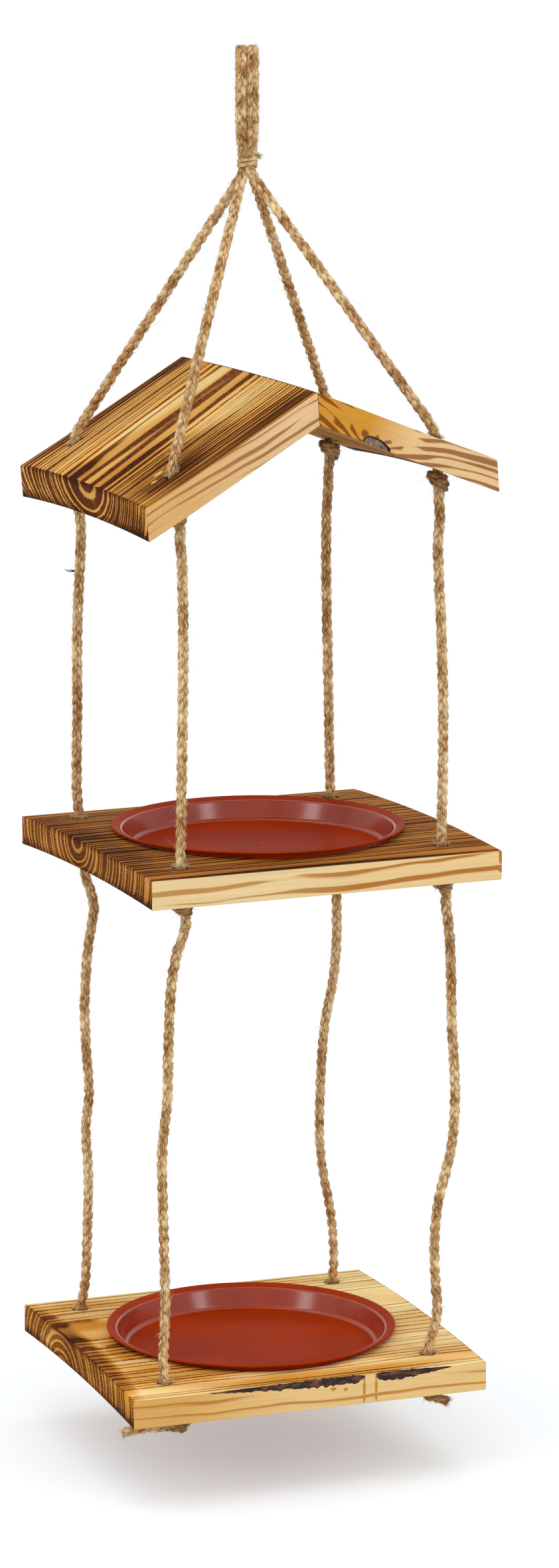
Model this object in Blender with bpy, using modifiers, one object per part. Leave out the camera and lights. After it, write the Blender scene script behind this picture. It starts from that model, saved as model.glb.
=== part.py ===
"""A hanging bird feeder: a pitched roof over two trays, strung on four plaited jute ropes.

Metres, +Z up. The origin is where a hook bears inside the hanging loops. X runs along the
front edge of the middle tray and Y runs from its front edge to its back edge.
"""

import math

import bmesh
import bpy
from mathutils import Matrix, Vector

# Clearance between pieces that touch
TOUCH = 0.0003

# Planks of the two trays
TRAY_WIDTH = 0.200
TRAY_DEPTH = 0.190
PLANK_THICKNESS = 0.0155
PLANK_CROWN = 0.0027
EDGE_EASE = 0.0018
CROWN_STRIPS = 10

# Roof
ROOF_DEPTH = 0.190
ROOF_HALF_SPAN = 0.0985
ROOF_SLOPE = math.radians(25.1)

# Rope and its holes, whose centres stand in from the edges of the boards
ROPE_DIAMETER = 0.006
ROPE_HOLE_PLAY = 0.003
TRAY_HOLE_FROM_SIDE = 0.025
ROOF_HOLE_FROM_EAVE = 0.0245
HOLE_FROM_FRONT = 0.023

# Saucers, with heights over the top of the tray's crown
SAUCER_RADIUS = 0.079
SAUCER_LIP = 0.006
SAUCER_LIP_RISE = 0.0017
SAUCER_WALL = 0.0013
SAUCER_DEPTH = 0.0105
SAUCER_DRAFT = 0.003
SAUCER_LIP_HEIGHT = 0.0013
SAUCER_HOLE_PLAY = 0.0007

# Hanging loops and the tie round their neck
LOOP_HALF_WIDTH = 0.012
LOOP_TAPER_HALF_WIDTH = 0.0074
LOOP_TAPER_DROP = 0.006
LOOP_LENGTH = 0.056
LOOP_FACING = math.radians(-23.5)
NECK_ROPE_RADIUS = 0.0019
TWINE_DIAMETER = 0.0018
TWINE_GAP = 0.0006
TWINE_ROUNDNESS = 0.55
TIE_TURNS = 2
NECK_SWING_GAP = 0.0007
# Ends of the twine: sideways, backward and up from the winding
TIE_START = (0.0021, -0.0060, 0.0)
TIE_END = (0.0060, 0.0018, 0.0036)

# Heights of the boards under the hook, and how each board hangs
RIDGE_DROP = 0.1663
RIDGE_TO_MIDDLE = 0.2463
MIDDLE_TO_LOWER = 0.2780
ROOF_YAW = math.radians(-0.9)
ROOF_ROLL = math.radians(-4.6)
MIDDLE_OFFSET = Vector((0.005, -0.002))
LOWER_OFFSET = Vector((-0.0005, -0.0045))
LOWER_YAW = math.radians(-3.1)

# Knots: two turns of rope drawn tight under a board
TURN_RADIUS = 0.0044
TURN_THICKNESS = 0.0029
SECOND_TURN_SHARE = 0.88
TURN_BEDDING = 0.9
KNOT_LEAN = math.radians(24)
KNOT_TO_PIVOT = 0.0085
MIDDLE_KNOT_EXIT = 0.003
SWAY_GAP = 0.0009

# Bends of the four ropes over the roof: how far they stand out below the tie, and the lump each
# one makes over its hole
BRIDLE_SPREAD = 1.15
BRIDLE_BEND_RISE = 0.0039
BRIDLE_BEND_LEAN = 0.0010
BRIDLE_BEND_RUN = 0.0084

# Brads across the ridge
BRAD_RADIUS = 0.0008
BRAD_HEAD_RADIUS = 0.0014
BRAD_HEAD = 0.0010
BRAD_FROM_RIDGE = 0.012
BRAD_LENGTH = 0.028
BRAD_DIP = math.radians(18)
BRAD_ROWS = 3
BRAD_SPACING = 0.070

# How finely round shapes are divided
SAUCER_SIDES = 48
HOLE_SIDES = 12
BRAD_SIDES = 8
TURN_SIDES = 12
ROPE_STEP = 0.014
LOOP_STEP = 0.006
TIE_POINTS_PER_TURN = 24

ROPE_RADIUS = ROPE_DIAMETER / 2
ROPE_HOLE_RADIUS = (ROPE_DIAMETER + ROPE_HOLE_PLAY) / 2
PLUMB_THICKNESS = PLANK_THICKNESS / math.cos(ROOF_SLOPE)
CORNERS = {"front_left": (-1, -1), "back_left": (-1, 1), "front_right": (1, -1), "back_right": (1, 1)}

# Sideways and backward wander of each rope off a straight line, by share of its drop. Sideways is
# along the width of the hanging loops' neck.
MIDDLE_WANDER = {
    "front_left": [(0.10, 0.0012, 0.0), (0.35, 0.0016, 0.0008), (0.65, 0.0010, -0.0006), (0.90, 0.0004, 0.0)],
    "back_left": [(0.10, 0.0014, 0.0), (0.38, -0.0008, 0.0009), (0.65, -0.0010, 0.0), (0.90, -0.0014, -0.0006)],
    "front_right": [(0.08, -0.0010, 0.0), (0.30, 0.0004, -0.0010), (0.60, 0.0014, 0.0), (0.90, 0.0006, 0.0006)],
    "back_right": [(0.08, -0.0010, 0.0), (0.30, -0.0014, 0.0007), (0.60, -0.0008, 0.0), (0.90, -0.0004, -0.0007)],
}
LOWER_WANDER = {
    "front_left": [(0.07, -0.0046, 0.0010), (0.16, -0.0064, 0.0016), (0.30, -0.0060, 0.0006),
                   (0.38, -0.0055, -0.0004), (0.49, -0.0070, -0.0010), (0.61, -0.0052, -0.0006),
                   (0.73, -0.0032, 0.0006), (0.85, -0.0014, 0.0010), (0.94, -0.0014, 0.0004)],
    "back_left": [(0.07, 0.0050, 0.0), (0.16, 0.0022, -0.0008), (0.28, 0.0007, -0.0012),
                  (0.38, 0.0015, -0.0004), (0.50, 0.0036, 0.0010), (0.58, 0.0020, 0.0014),
                  (0.69, 0.0037, 0.0008), (0.81, 0.0037, 0.0), (0.93, 0.0030, -0.0004)],
    "front_right": [(0.10, 0.0034, 0.0006), (0.27, 0.0060, 0.0012), (0.42, 0.0092, 0.0008),
                    (0.53, 0.0086, 0.0), (0.60, 0.0054, -0.0006), (0.67, 0.0022, -0.0012),
                    (0.76, 0.0014, -0.0012), (0.84, 0.0028, -0.0004), (0.91, 0.0044, 0.0004)],
    "back_right": [(0.10, 0.0008, 0.0), (0.20, 0.0010, 0.0008), (0.29, -0.0006, 0.0014),
                   (0.38, -0.0046, 0.0012), (0.47, -0.0067, 0.0004), (0.63, -0.0078, -0.0006),
                   (0.73, -0.0058, -0.0010), (0.84, -0.0008, -0.0008), (0.94, 0.0010, 0.0)],
}
# Loose ends under the lower tray: sideways, backward and down from the knot
LOWER_TAILS = {
    "front_left": [(-0.008, -0.001, -0.0006), (-0.015, -0.003, -0.0010), (-0.022, -0.004, -0.0030)],
    "back_left": [(-0.002, 0.004, -0.0040), (-0.004, 0.008, -0.0070)],
    "front_right": [(0.006, 0.001, -0.0015), (0.011, 0.002, -0.0040)],
    "back_right": [(0.003, 0.004, -0.0030), (0.006, 0.007, -0.0065)],
}

# SIDEWAYS runs across the neck from the left loop to the right one, and AWAY through the loops' eyes
SIDEWAYS = Vector((math.cos(LOOP_FACING), math.sin(LOOP_FACING), 0.0))
AWAY = Vector((-math.sin(LOOP_FACING), math.cos(LOOP_FACING), 0.0))

ROOF_FRAME = (Matrix.Translation((0.0, 0.0, -RIDGE_DROP))
              @ Matrix.Rotation(ROOF_YAW, 4, "Z") @ Matrix.Rotation(ROOF_ROLL, 4, "Y"))
MIDDLE_HEIGHT = -RIDGE_DROP - RIDGE_TO_MIDDLE
LOWER_HEIGHT = MIDDLE_HEIGHT - MIDDLE_TO_LOWER
MIDDLE_FRAME = Matrix.Translation((MIDDLE_OFFSET.x, MIDDLE_OFFSET.y, MIDDLE_HEIGHT))
LOWER_FRAME = (Matrix.Translation((LOWER_OFFSET.x, LOWER_OFFSET.y, LOWER_HEIGHT))
               @ Matrix.Rotation(LOWER_YAW, 4, "Z"))

DOWN = Vector((0.0, 0.0, -1.0))
KNOT_HEIGHT = TURN_THICKNESS * (2 + SECOND_TURN_SHARE)


def clear_scene() -> None:
    """Remove what the scene already holds."""
    for item in list(bpy.data.objects):
        bpy.data.objects.remove(item)


def new_collection(name: str) -> bpy.types.Collection:
    """Make a collection in the scene."""
    group = bpy.data.collections.new(name)
    bpy.context.scene.collection.children.link(group)
    return group


def new_material(name: str, colour: tuple, roughness: float, metallic: float = 0.0) -> bpy.types.Material:
    """Make a plain Principled material."""
    material = bpy.data.materials.new(name)
    material.use_nodes = True
    shader = material.node_tree.nodes["Principled BSDF"]
    shader.inputs["Base Color"].default_value = (*colour, 1.0)
    shader.inputs["Roughness"].default_value = roughness
    shader.inputs["Metallic"].default_value = metallic
    return material


clear_scene()
PARTS = new_collection("hanging_bird_feeder")
CUTTERS = new_collection("cutters")
ROOF_PINE = new_material("flamed_pine_roof", (0.42, 0.20, 0.07), 0.55)
TRAY_PINE = new_material("flamed_pine_tray", (0.50, 0.27, 0.09), 0.55)
TERRACOTTA = new_material("terracotta_plastic", (0.32, 0.045, 0.02), 0.28)
JUTE = new_material("jute_rope", (0.46, 0.28, 0.12), 0.95)
TWINE = new_material("jute_twine", (0.55, 0.38, 0.18), 0.95)
STEEL = new_material("bright_steel", (0.60, 0.60, 0.58), 0.35, 1.0)


def add_pivot(name: str, place: Vector) -> bpy.types.Object:
    """Add the empty that stands on a joint's axis."""
    pivot = bpy.data.objects.new(name, None)
    pivot.empty_display_size = 0.01
    pivot.location = place
    PARTS.objects.link(pivot)
    bpy.context.view_layer.update()
    return pivot


def hang_on(piece: bpy.types.Object, pivot: bpy.types.Object) -> None:
    """Parent a piece to its pivot and leave it where it is."""
    bpy.context.view_layer.update()
    placed = piece.matrix_world.copy()
    piece.parent = pivot
    piece.matrix_parent_inverse = pivot.matrix_world.inverted()
    piece.matrix_world = placed


def add_mesh(name: str, shape: bmesh.types.BMesh, group: bpy.types.Collection,
             material: bpy.types.Material | None = None) -> bpy.types.Object:
    """Turn a bmesh into an object."""
    mesh = bpy.data.meshes.new(name)
    shape.to_mesh(mesh)
    shape.free()
    piece = bpy.data.objects.new(name, mesh)
    group.objects.link(piece)
    if material:
        mesh.materials.append(material)
    if group is CUTTERS:
        piece.hide_render = True
        piece.display_type = "WIRE"
    return piece


def combine(piece: bpy.types.Object, other: bpy.types.Object, operation: str) -> None:
    """Cut or join a piece with another by a Boolean modifier."""
    modifier = piece.modifiers.new(operation.lower(), "BOOLEAN")
    modifier.operation = operation
    modifier.object = other
    modifier.solver = "EXACT"


def cylinder(name: str, radius: float, top: Vector, bottom: Vector, sides: int = HOLE_SIDES) -> bpy.types.Object:
    """Make a cutter cylinder between two points."""
    shape = bmesh.new()
    axis = top - bottom
    turn = axis.to_track_quat("Z", "Y").to_matrix().to_4x4()
    bmesh.ops.create_cone(shape, cap_ends=True, segments=sides, radius1=radius, radius2=radius,
                          depth=axis.length, matrix=Matrix.Translation((top + bottom) / 2) @ turn)
    return add_mesh(name, shape, CUTTERS)


def crown_drop(y: float, depth: float) -> float:
    """Give how far a cupped board's surface lies under its crown line at y."""
    return PLANK_CROWN * (2 * y / depth) ** 2


def crown_normal(y: float, depth: float) -> Vector:
    """Give the upward normal of a level cupped board at y."""
    return Vector((0.0, 8 * PLANK_CROWN * y / depth ** 2, 1.0)).normalized()


def plank(name: str, x_low: float, x_high: float, depth: float, thickness: float, fall: float,
          material: bpy.types.Material) -> bpy.types.Object:
    """Make a cupped board with eased edges, its crown line's top at z = 0, falling by `fall` along +X."""
    shape = bmesh.new()
    middle = Matrix.Translation(((x_low + x_high) / 2, 0.0, -thickness / 2))
    size = Matrix.Diagonal((x_high - x_low, depth, thickness, 1.0))
    bmesh.ops.create_cube(shape, size=1.0, matrix=middle @ size)
    across = [edge for edge in shape.edges if abs(edge.verts[0].co.y - edge.verts[1].co.y) > depth / 2]
    bmesh.ops.subdivide_edges(shape, edges=across, cuts=CROWN_STRIPS - 1, use_grid_fill=True)
    for point in shape.verts:
        point.co.z -= crown_drop(point.co.y, depth) + fall * point.co.x
    board = add_mesh(name, shape, PARTS, material)
    ease = board.modifiers.new("eased_edges", "BEVEL")
    ease.width = EDGE_EASE
    ease.segments = 2
    ease.limit_method = "ANGLE"
    ease.angle_limit = math.radians(40)
    return board


def smooth_route(points: list, step: float) -> list:
    """Read points at about one step apart from a smooth curve through the route's own points."""
    padded = [points[0] * 2 - points[1], *points, points[-1] * 2 - points[-2]]
    route = []
    for before, start, end, after in zip(padded, padded[1:], padded[2:], padded[3:]):
        pieces = max(1, round((end - start).length / step))
        for index in range(pieces):
            t = index / pieces
            route.append(0.5 * (2 * start + (end - before) * t
                                + (2 * before - 5 * start + 4 * end - after) * t ** 2
                                + (3 * start - 3 * end + after - before) * t ** 3))
    route.append(points[-1])
    return route


def tube(name: str, points: list, radii: list, group: bpy.types.Collection, material: bpy.types.Material,
         resolution: int = 2) -> bpy.types.Object:
    """Make a capped tube along points, with its own radius at each."""
    curve = bpy.data.curves.new(name, "CURVE")
    curve.dimensions = "3D"
    curve.bevel_depth = ROPE_RADIUS
    curve.bevel_resolution = resolution
    curve.use_fill_caps = True
    spline = curve.splines.new("POLY")
    spline.points.add(len(points) - 1)
    for point, place, radius in zip(spline.points, points, radii):
        point.co = (*place, 1.0)
        point.radius = radius / ROPE_RADIUS
    rope = bpy.data.objects.new(name, curve)
    curve.materials.append(material)
    group.objects.link(rope)
    return rope


def as_mesh(rope: bpy.types.Object) -> bpy.types.Object:
    """Turn a tube into a mesh whose caps are welded, so that it can be joined."""
    bpy.context.view_layer.update()
    evaluated = rope.evaluated_get(bpy.context.evaluated_depsgraph_get())
    mesh = bpy.data.meshes.new_from_object(evaluated)
    shape = bmesh.new()
    shape.from_mesh(mesh)
    bmesh.ops.remove_doubles(shape, verts=shape.verts, dist=0.00001)
    shape.to_mesh(mesh)
    shape.free()
    name = rope.name
    group = rope.users_collection[0]
    placed = rope.matrix_world.copy()
    bpy.data.objects.remove(rope)
    piece = bpy.data.objects.new(name, mesh)
    piece.matrix_world = placed
    group.objects.link(piece)
    return piece


def round_end(points: list, radii: list, at_start: bool) -> tuple:
    """Replace a tube's flat end by a half ball round its end point."""
    if not at_start:
        points, radii = round_end(points[::-1], radii[::-1], True)
        return points[::-1], radii[::-1]
    outward = (points[0] - points[1]).normalized()
    angles = [math.radians(degrees) for degrees in (78, 52, 26)]
    ball = [points[0] + outward * radii[0] * math.sin(angle) for angle in angles]
    return [*ball, *points], [*(radii[0] * math.cos(angle) for angle in angles), *radii]


def straight_rope(name: str, top: Vector, bottom: Vector, wander: list) -> bpy.types.Object:
    """Make one rope of a bay, rounded about its pivot at each end."""
    own = [top]
    own += [top.lerp(bottom, share) + SIDEWAYS * side + AWAY * back for share, side, back in wander]
    own.append(bottom)
    points = smooth_route(own, ROPE_STEP)
    radii = [ROPE_RADIUS] * len(points)
    points, radii = round_end(points, radii, True)
    points, radii = round_end(points, radii, False)
    return tube(name, points, radii, PARTS, JUTE)


def turned(name: str, profile: list, sides: int, group: bpy.types.Collection,
           material: bpy.types.Material | None = None) -> bpy.types.Object:
    """Turn a section about Z. It runs from the top of the axis, down its outer side, to the bottom."""
    shape = bmesh.new()
    corners = [shape.verts.new((radius, 0.0, height)) for radius, height in profile]
    for start, end in zip(corners, corners[1:]):
        shape.edges.new((start, end))
    piece = add_mesh(name, shape, group, material)
    turn = piece.modifiers.new("turned", "SCREW")
    turn.steps = sides
    turn.render_steps = sides
    turn.use_merge_vertices = True
    turn.merge_threshold = 0.00001
    return piece


def turn_of_rope(name: str, centre: Vector, axis: Vector, share: float) -> bpy.types.Object:
    """Make one turn of a knot: a disc with a round rim, its inside filled by the rope it grips."""
    half = TURN_THICKNESS * share
    arc = [math.radians(degrees) for degrees in (90, 35, -35, -90)]
    rim = [(TURN_RADIUS * share + half * math.cos(angle), half * math.sin(angle)) for angle in arc]
    turn = turned(name, [(0.0, half), *rim, (0.0, -half)], TURN_SIDES, CUTTERS)
    turn.matrix_world = Matrix.Translation(centre) @ axis.to_track_quat("Z", "Y").to_matrix().to_4x4()
    return turn


def knot_centre(mouth: Vector, rope_axis: Vector, normal: Vector) -> Vector:
    """Give the centre of a knot's upper turn, which bears on the underside round the hole's mouth."""
    return mouth - rope_axis * ((TURN_THICKNESS + 2 * TOUCH) / rope_axis.dot(normal))


def turn_drop() -> float:
    """Give how far a knot's lower turn lies under its upper one."""
    return TURN_THICKNESS * (1 + SECOND_TURN_SHARE) * TURN_BEDDING


def knot(name: str, above: list, centre: Vector, normal: Vector, below: list) -> bpy.types.Object:
    """Make a knot: two turns drawn tight on the rope that runs through them."""
    lower = centre.lerp(below[0], turn_drop() / (centre.z - below[0].z))
    points = smooth_route([*above, centre, *below], ROPE_STEP / 3)
    rope = as_mesh(tube(name, points, [ROPE_RADIUS] * len(points), PARTS, JUTE))
    lean = Matrix.Rotation(KNOT_LEAN, 3, AWAY)
    combine(rope, turn_of_rope(name + "_upper_turn", centre, normal, 1.0), "UNION")
    combine(rope, turn_of_rope(name + "_lower_turn", lower, lean @ -DOWN, SECOND_TURN_SHARE), "UNION")
    return rope


def way_down(centre: Vector, foot: Vector) -> list:
    """Give the rope's way from a knot to where it ends in a plumb foot."""
    return [centre.lerp(foot, 0.5), foot - DOWN * ROPE_RADIUS, foot]


def roof_surface(x: float, y: float) -> Vector:
    """Give a point on the roof's upper side, in the roof's frame."""
    return Vector((x, y, -abs(x) * math.tan(ROOF_SLOPE) - crown_drop(y, ROOF_DEPTH)))


def roof_normal(x: float, y: float) -> Vector:
    """Give the roof's upward normal, in world axes."""
    across = 8 * PLANK_CROWN * y / ROOF_DEPTH ** 2
    local = Vector((math.copysign(math.tan(ROOF_SLOPE), x), across, 1.0)).normalized()
    return ROOF_FRAME.to_3x3() @ local


def corner_place(corner: str, half_width: float, half_depth: float) -> tuple:
    """Give a rope hole's x and y in its board's frame."""
    side, end = CORNERS[corner]
    return side * half_width, end * half_depth


def roof_hole(corner: str) -> tuple:
    """Give a roof hole's x and y in the roof's frame."""
    return corner_place(corner, ROOF_HALF_SPAN - ROOF_HOLE_FROM_EAVE, ROOF_DEPTH / 2 - HOLE_FROM_FRONT)


def tray_hole(corner: str) -> tuple:
    """Give a tray hole's x and y in the tray's frame."""
    return corner_place(corner, TRAY_WIDTH / 2 - TRAY_HOLE_FROM_SIDE, TRAY_DEPTH / 2 - HOLE_FROM_FRONT)


def roof_mouths(corner: str) -> tuple:
    """Give a roof hole's upper and lower mouth in the world."""
    upper = roof_surface(*roof_hole(corner))
    return ROOF_FRAME @ upper, ROOF_FRAME @ (upper - Vector((0.0, 0.0, PLUMB_THICKNESS)))


def tray_mouths(corner: str, frame: Matrix) -> tuple:
    """Give a tray hole's upper and lower mouth in the world."""
    x, y = tray_hole(corner)
    upper = Vector((x, y, -crown_drop(y, TRAY_DEPTH)))
    return frame @ upper, frame @ (upper - Vector((0.0, 0.0, PLANK_THICKNESS)))


def middle_bay_top(corner: str) -> Vector:
    """Give where a middle rope turns under its roof knot: all four are at one height."""
    side, end = CORNERS[corner]
    lowest = min(roof_mouths(name)[1].z for name in CORNERS)
    height = lowest - KNOT_HEIGHT - KNOT_TO_PIVOT
    mouths = [roof_mouths(name)[1].x for name in CORNERS if CORNERS[name][0] == side]
    return Vector((sum(mouths) / len(mouths), tray_mouths(corner, MIDDLE_FRAME)[0].y, height))


def middle_bay_bottom(corner: str) -> Vector:
    """Give where a middle rope turns at the mouth of its hole in the middle tray."""
    return tray_mouths(corner, MIDDLE_FRAME)[0]


def lower_bay_top(corner: str) -> Vector:
    """Give where a lower rope turns under its knot on the middle tray."""
    mouth = tray_mouths(corner, MIDDLE_FRAME)[1]
    return mouth + Vector((MIDDLE_KNOT_EXIT, 0.0, -KNOT_HEIGHT - KNOT_TO_PIVOT))


def lower_bay_bottom(corner: str) -> Vector:
    """Give where a lower rope turns at the mouth of its hole in the lower tray."""
    return tray_mouths(corner, LOWER_FRAME)[0]


def mean_place(places: list) -> Vector:
    """Give the mean of some places."""
    return sum(places, Vector()) / len(places)


def side_pivot(name: str, bay_end, side: int) -> bpy.types.Object:
    """Add the pivot that the front and back ropes of one side share."""
    return add_pivot(name, mean_place([bay_end(corner) for corner in CORNERS if CORNERS[corner][0] == side]))


def build_roof(neck: bpy.types.Object) -> None:
    """Build the two roof boards and the brads that hold them at the ridge."""
    half_gap = TOUCH / 2
    slope = math.tan(ROOF_SLOPE)
    left = plank("roof_board_left", -ROOF_HALF_SPAN, -half_gap, ROOF_DEPTH, PLUMB_THICKNESS, -slope, ROOF_PINE)
    right = plank("roof_board_right", half_gap, ROOF_HALF_SPAN, ROOF_DEPTH, PLUMB_THICKNESS, slope, ROOF_PINE)
    for corner in CORNERS:
        surface = roof_surface(*roof_hole(corner))
        reach = Vector((0.0, 0.0, PLUMB_THICKNESS))
        drill = cylinder("drill_roof_" + corner, ROPE_HOLE_RADIUS, surface + reach, surface - 2 * reach)
        combine(left if CORNERS[corner][0] < 0 else right, drill, "DIFFERENCE")
    build_brads(left, right, neck)
    for board in (left, right):
        board.matrix_world = ROOF_FRAME
        hang_on(board, neck)
    bpy.context.view_layer.update()
    for cutter in [item for item in CUTTERS.objects if item.name.startswith("drill_")]:
        cutter.matrix_world = ROOF_FRAME @ cutter.matrix_world


def build_brads(left: bpy.types.Object, right: bpy.types.Object, neck: bpy.types.Object) -> None:
    """Build the ridge brads, and drill both boards for them."""
    along = Vector((-math.cos(BRAD_DIP), 0.0, -math.sin(BRAD_DIP)))
    turn = (-along).to_track_quat("Z", "Y").to_matrix().to_4x4()
    profile = [(0.0, 0.0), (BRAD_HEAD_RADIUS, 0.0), (BRAD_HEAD_RADIUS, -BRAD_HEAD), (BRAD_RADIUS, -BRAD_HEAD),
               (BRAD_RADIUS, -BRAD_LENGTH + BRAD_RADIUS), (0.0, -BRAD_LENGTH)]
    for row in range(BRAD_ROWS):
        y = (row - (BRAD_ROWS - 1) / 2) * BRAD_SPACING
        seat = roof_surface(BRAD_FROM_RIDGE, y) + along * BRAD_HEAD
        brad = turned(f"ridge_brad_{row + 1}", profile, BRAD_SIDES, PARTS, STEEL)
        brad.matrix_world = ROOF_FRAME @ Matrix.Translation(seat) @ turn
        hang_on(brad, neck)
        outside = seat - along * 4 * BRAD_HEAD
        bore = cylinder(f"drill_brad_bore_{row}", BRAD_RADIUS + TOUCH, outside,
                        seat + along * (BRAD_LENGTH + TOUCH), BRAD_SIDES)
        head_seat = cylinder(f"drill_brad_head_{row}", BRAD_HEAD_RADIUS + TOUCH, outside,
                             seat + along * (BRAD_HEAD + TOUCH), BRAD_SIDES)
        combine(right, bore, "DIFFERENCE")
        combine(right, head_seat, "DIFFERENCE")
        combine(left, bore, "DIFFERENCE")


def saucer_hole_radius() -> float:
    """Give the tray's big hole, which clears the saucer's wall."""
    return SAUCER_RADIUS - SAUCER_LIP + SAUCER_WALL + SAUCER_HOLE_PLAY


def build_tray(name: str, frame: Matrix, pivot: bpy.types.Object) -> None:
    """Build one tray board with its saucer hole and four rope holes."""
    board = plank(name, -TRAY_WIDTH / 2, TRAY_WIDTH / 2, TRAY_DEPTH, PLANK_THICKNESS, 0.0, TRAY_PINE)
    reach = Vector((0.0, 0.0, PLANK_THICKNESS + PLANK_CROWN))
    cutter = cylinder(name + "_saucer_hole", saucer_hole_radius(), reach, -2 * reach, SAUCER_SIDES)
    combine(board, cutter, "DIFFERENCE")
    drills = [cutter]
    for corner in CORNERS:
        place = Vector((*tray_hole(corner), 0.0))
        drill = cylinder(f"{name}_drill_{corner}", ROPE_HOLE_RADIUS, place + reach, place - 2 * reach)
        combine(board, drill, "DIFFERENCE")
        drills.append(drill)
    board.matrix_world = frame
    for drill in drills:
        drill.matrix_world = frame
    hang_on(board, pivot)


def saucer_profile() -> list:
    """Give the saucer's section from the middle of its floor, over the lip and back underneath."""
    lip_in = SAUCER_RADIUS - SAUCER_LIP
    floor = lip_in - SAUCER_DRAFT
    rim = SAUCER_LIP_HEIGHT + SAUCER_LIP_RISE
    bottom = SAUCER_LIP_HEIGHT - SAUCER_DEPTH
    curve = 2 * SAUCER_WALL
    return [
        (0.0, bottom), (floor - curve, bottom), (floor - curve / 4, bottom + curve / 4), (floor, bottom + curve),
        (lip_in - SAUCER_WALL / 3, SAUCER_LIP_HEIGHT - SAUCER_WALL / 2), (lip_in + SAUCER_WALL / 3, SAUCER_LIP_HEIGHT),
        (SAUCER_RADIUS - SAUCER_WALL / 3, rim), (SAUCER_RADIUS, rim - SAUCER_WALL / 3),
        (SAUCER_RADIUS - SAUCER_WALL / 3, rim - SAUCER_WALL * 0.8),
        (lip_in + SAUCER_WALL, SAUCER_LIP_HEIGHT - SAUCER_WALL * 0.7),
        (floor + SAUCER_WALL, bottom + curve), (floor + SAUCER_WALL / 2, bottom - SAUCER_WALL * 0.6),
        (floor - curve / 2, bottom - SAUCER_WALL), (0.0, bottom - SAUCER_WALL),
    ]


def build_saucer(name: str, frame: Matrix, pivot: bpy.types.Object) -> None:
    """Build one saucer by turning its section."""
    saucer = turned(name, saucer_profile(), SAUCER_SIDES, PARTS, TERRACOTTA)
    saucer.matrix_world = frame
    hang_on(saucer, pivot)


def neck_ropes() -> dict:
    """Give where each rope's axis runs through the tie, seen from above."""
    reach = NECK_ROPE_RADIUS + TOUCH / 2
    return {corner: SIDEWAYS * side * reach + AWAY * end * reach for corner, (side, end) in CORNERS.items()}


def tie_height() -> float:
    """Give how tall the tie's band is."""
    return TIE_TURNS * (TWINE_DIAMETER + TWINE_GAP) + TWINE_DIAMETER


def neck_bottom() -> float:
    """Give the height of the tie's lower side."""
    return -LOOP_LENGTH - tie_height() / 2


def build_loops() -> None:
    """Build the two hanging loops, each a rope folded over the hook."""
    feet = neck_ropes()
    tie_top = neck_bottom() + tie_height()
    shoulder = ROPE_RADIUS - LOOP_HALF_WIDTH
    round_share = math.sqrt(0.5)
    for side, name in ((-1, "hanging_loop_left"), (1, "hanging_loop_right")):
        foot = next(feet[corner] for corner, ends in CORNERS.items() if ends == (side, 1))
        across = SIDEWAYS * side * (ROPE_RADIUS + TOUCH)
        half = [
            foot + Vector((0, 0, neck_bottom() + NECK_ROPE_RADIUS)), foot + Vector((0, 0, tie_top)),
            across + AWAY * LOOP_TAPER_HALF_WIDTH + Vector((0, 0, (tie_top + shoulder) / 2 - LOOP_TAPER_DROP)),
            across + AWAY * LOOP_HALF_WIDTH + Vector((0, 0, shoulder)),
            across + (AWAY - DOWN) * LOOP_HALF_WIDTH * round_share + Vector((0, 0, shoulder)),
        ]
        mirrored = [point - AWAY * 2 * point.dot(AWAY) for point in half]
        points = smooth_route([*half, across + Vector((0, 0, ROPE_RADIUS)), *mirrored[::-1]], LOOP_STEP)
        radii = [rope_radius_away((point.z - tie_top) / 2) for point in points]
        tube(name, *round_both(points, radii), PARTS, JUTE)


def rope_radius_away(distance: float) -> float:
    """Give a rope's radius at a distance from the tie, which squeezes it."""
    share = min(1.0, max(0.0, distance / ROPE_DIAMETER))
    return NECK_ROPE_RADIUS + (ROPE_RADIUS - NECK_ROPE_RADIUS) * share


def round_both(points: list, radii: list) -> tuple:
    """Round both ends of a tube."""
    return round_end(*round_end(points, radii, True), False)


def build_tie() -> None:
    """Wind the twine round the neck as one unbroken tube, and print its least gap to itself."""
    flat = 2 * NECK_ROPE_RADIUS + 1.5 * TOUCH + TWINE_DIAMETER / 2
    pitch = TWINE_DIAMETER + TWINE_GAP
    low = neck_bottom() + TWINE_DIAMETER / 2
    points = []
    for index in range(TIE_TURNS * TIE_POINTS_PER_TURN + 1):
        turns = index / TIE_POINTS_PER_TURN
        side, back = (math.copysign(abs(share) ** TWINE_ROUNDNESS, share)
                      for share in (math.cos(2 * math.pi * turns), math.sin(2 * math.pi * turns)))
        points.append(in_neck(flat * side, flat * back, low + pitch * turns))
    print("neck_tie least gap to itself, mm:", round(least_gap(points, TWINE_DIAMETER) * 1000, 3))
    route = [points[0] + in_neck(*TIE_START), *points, points[-1] + in_neck(*TIE_END)]
    tube("neck_tie", route, [TWINE_DIAMETER / 2] * len(route), PARTS, TWINE, resolution=1)


def in_neck(side: float, back: float, height: float) -> Vector:
    """Give a place by how far it is sideways, backward and up."""
    return SIDEWAYS * side + AWAY * back + Vector((0, 0, height))


def least_gap(points: list, diameter: float) -> float:
    """Give the least gap between a tube's turns, on its points."""
    gap = math.inf
    half_turn = TIE_POINTS_PER_TURN // 2
    for index, point in enumerate(points):
        for other in points[index + half_turn:]:
            gap = min(gap, (other - point).length - diameter)
    return gap


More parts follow.
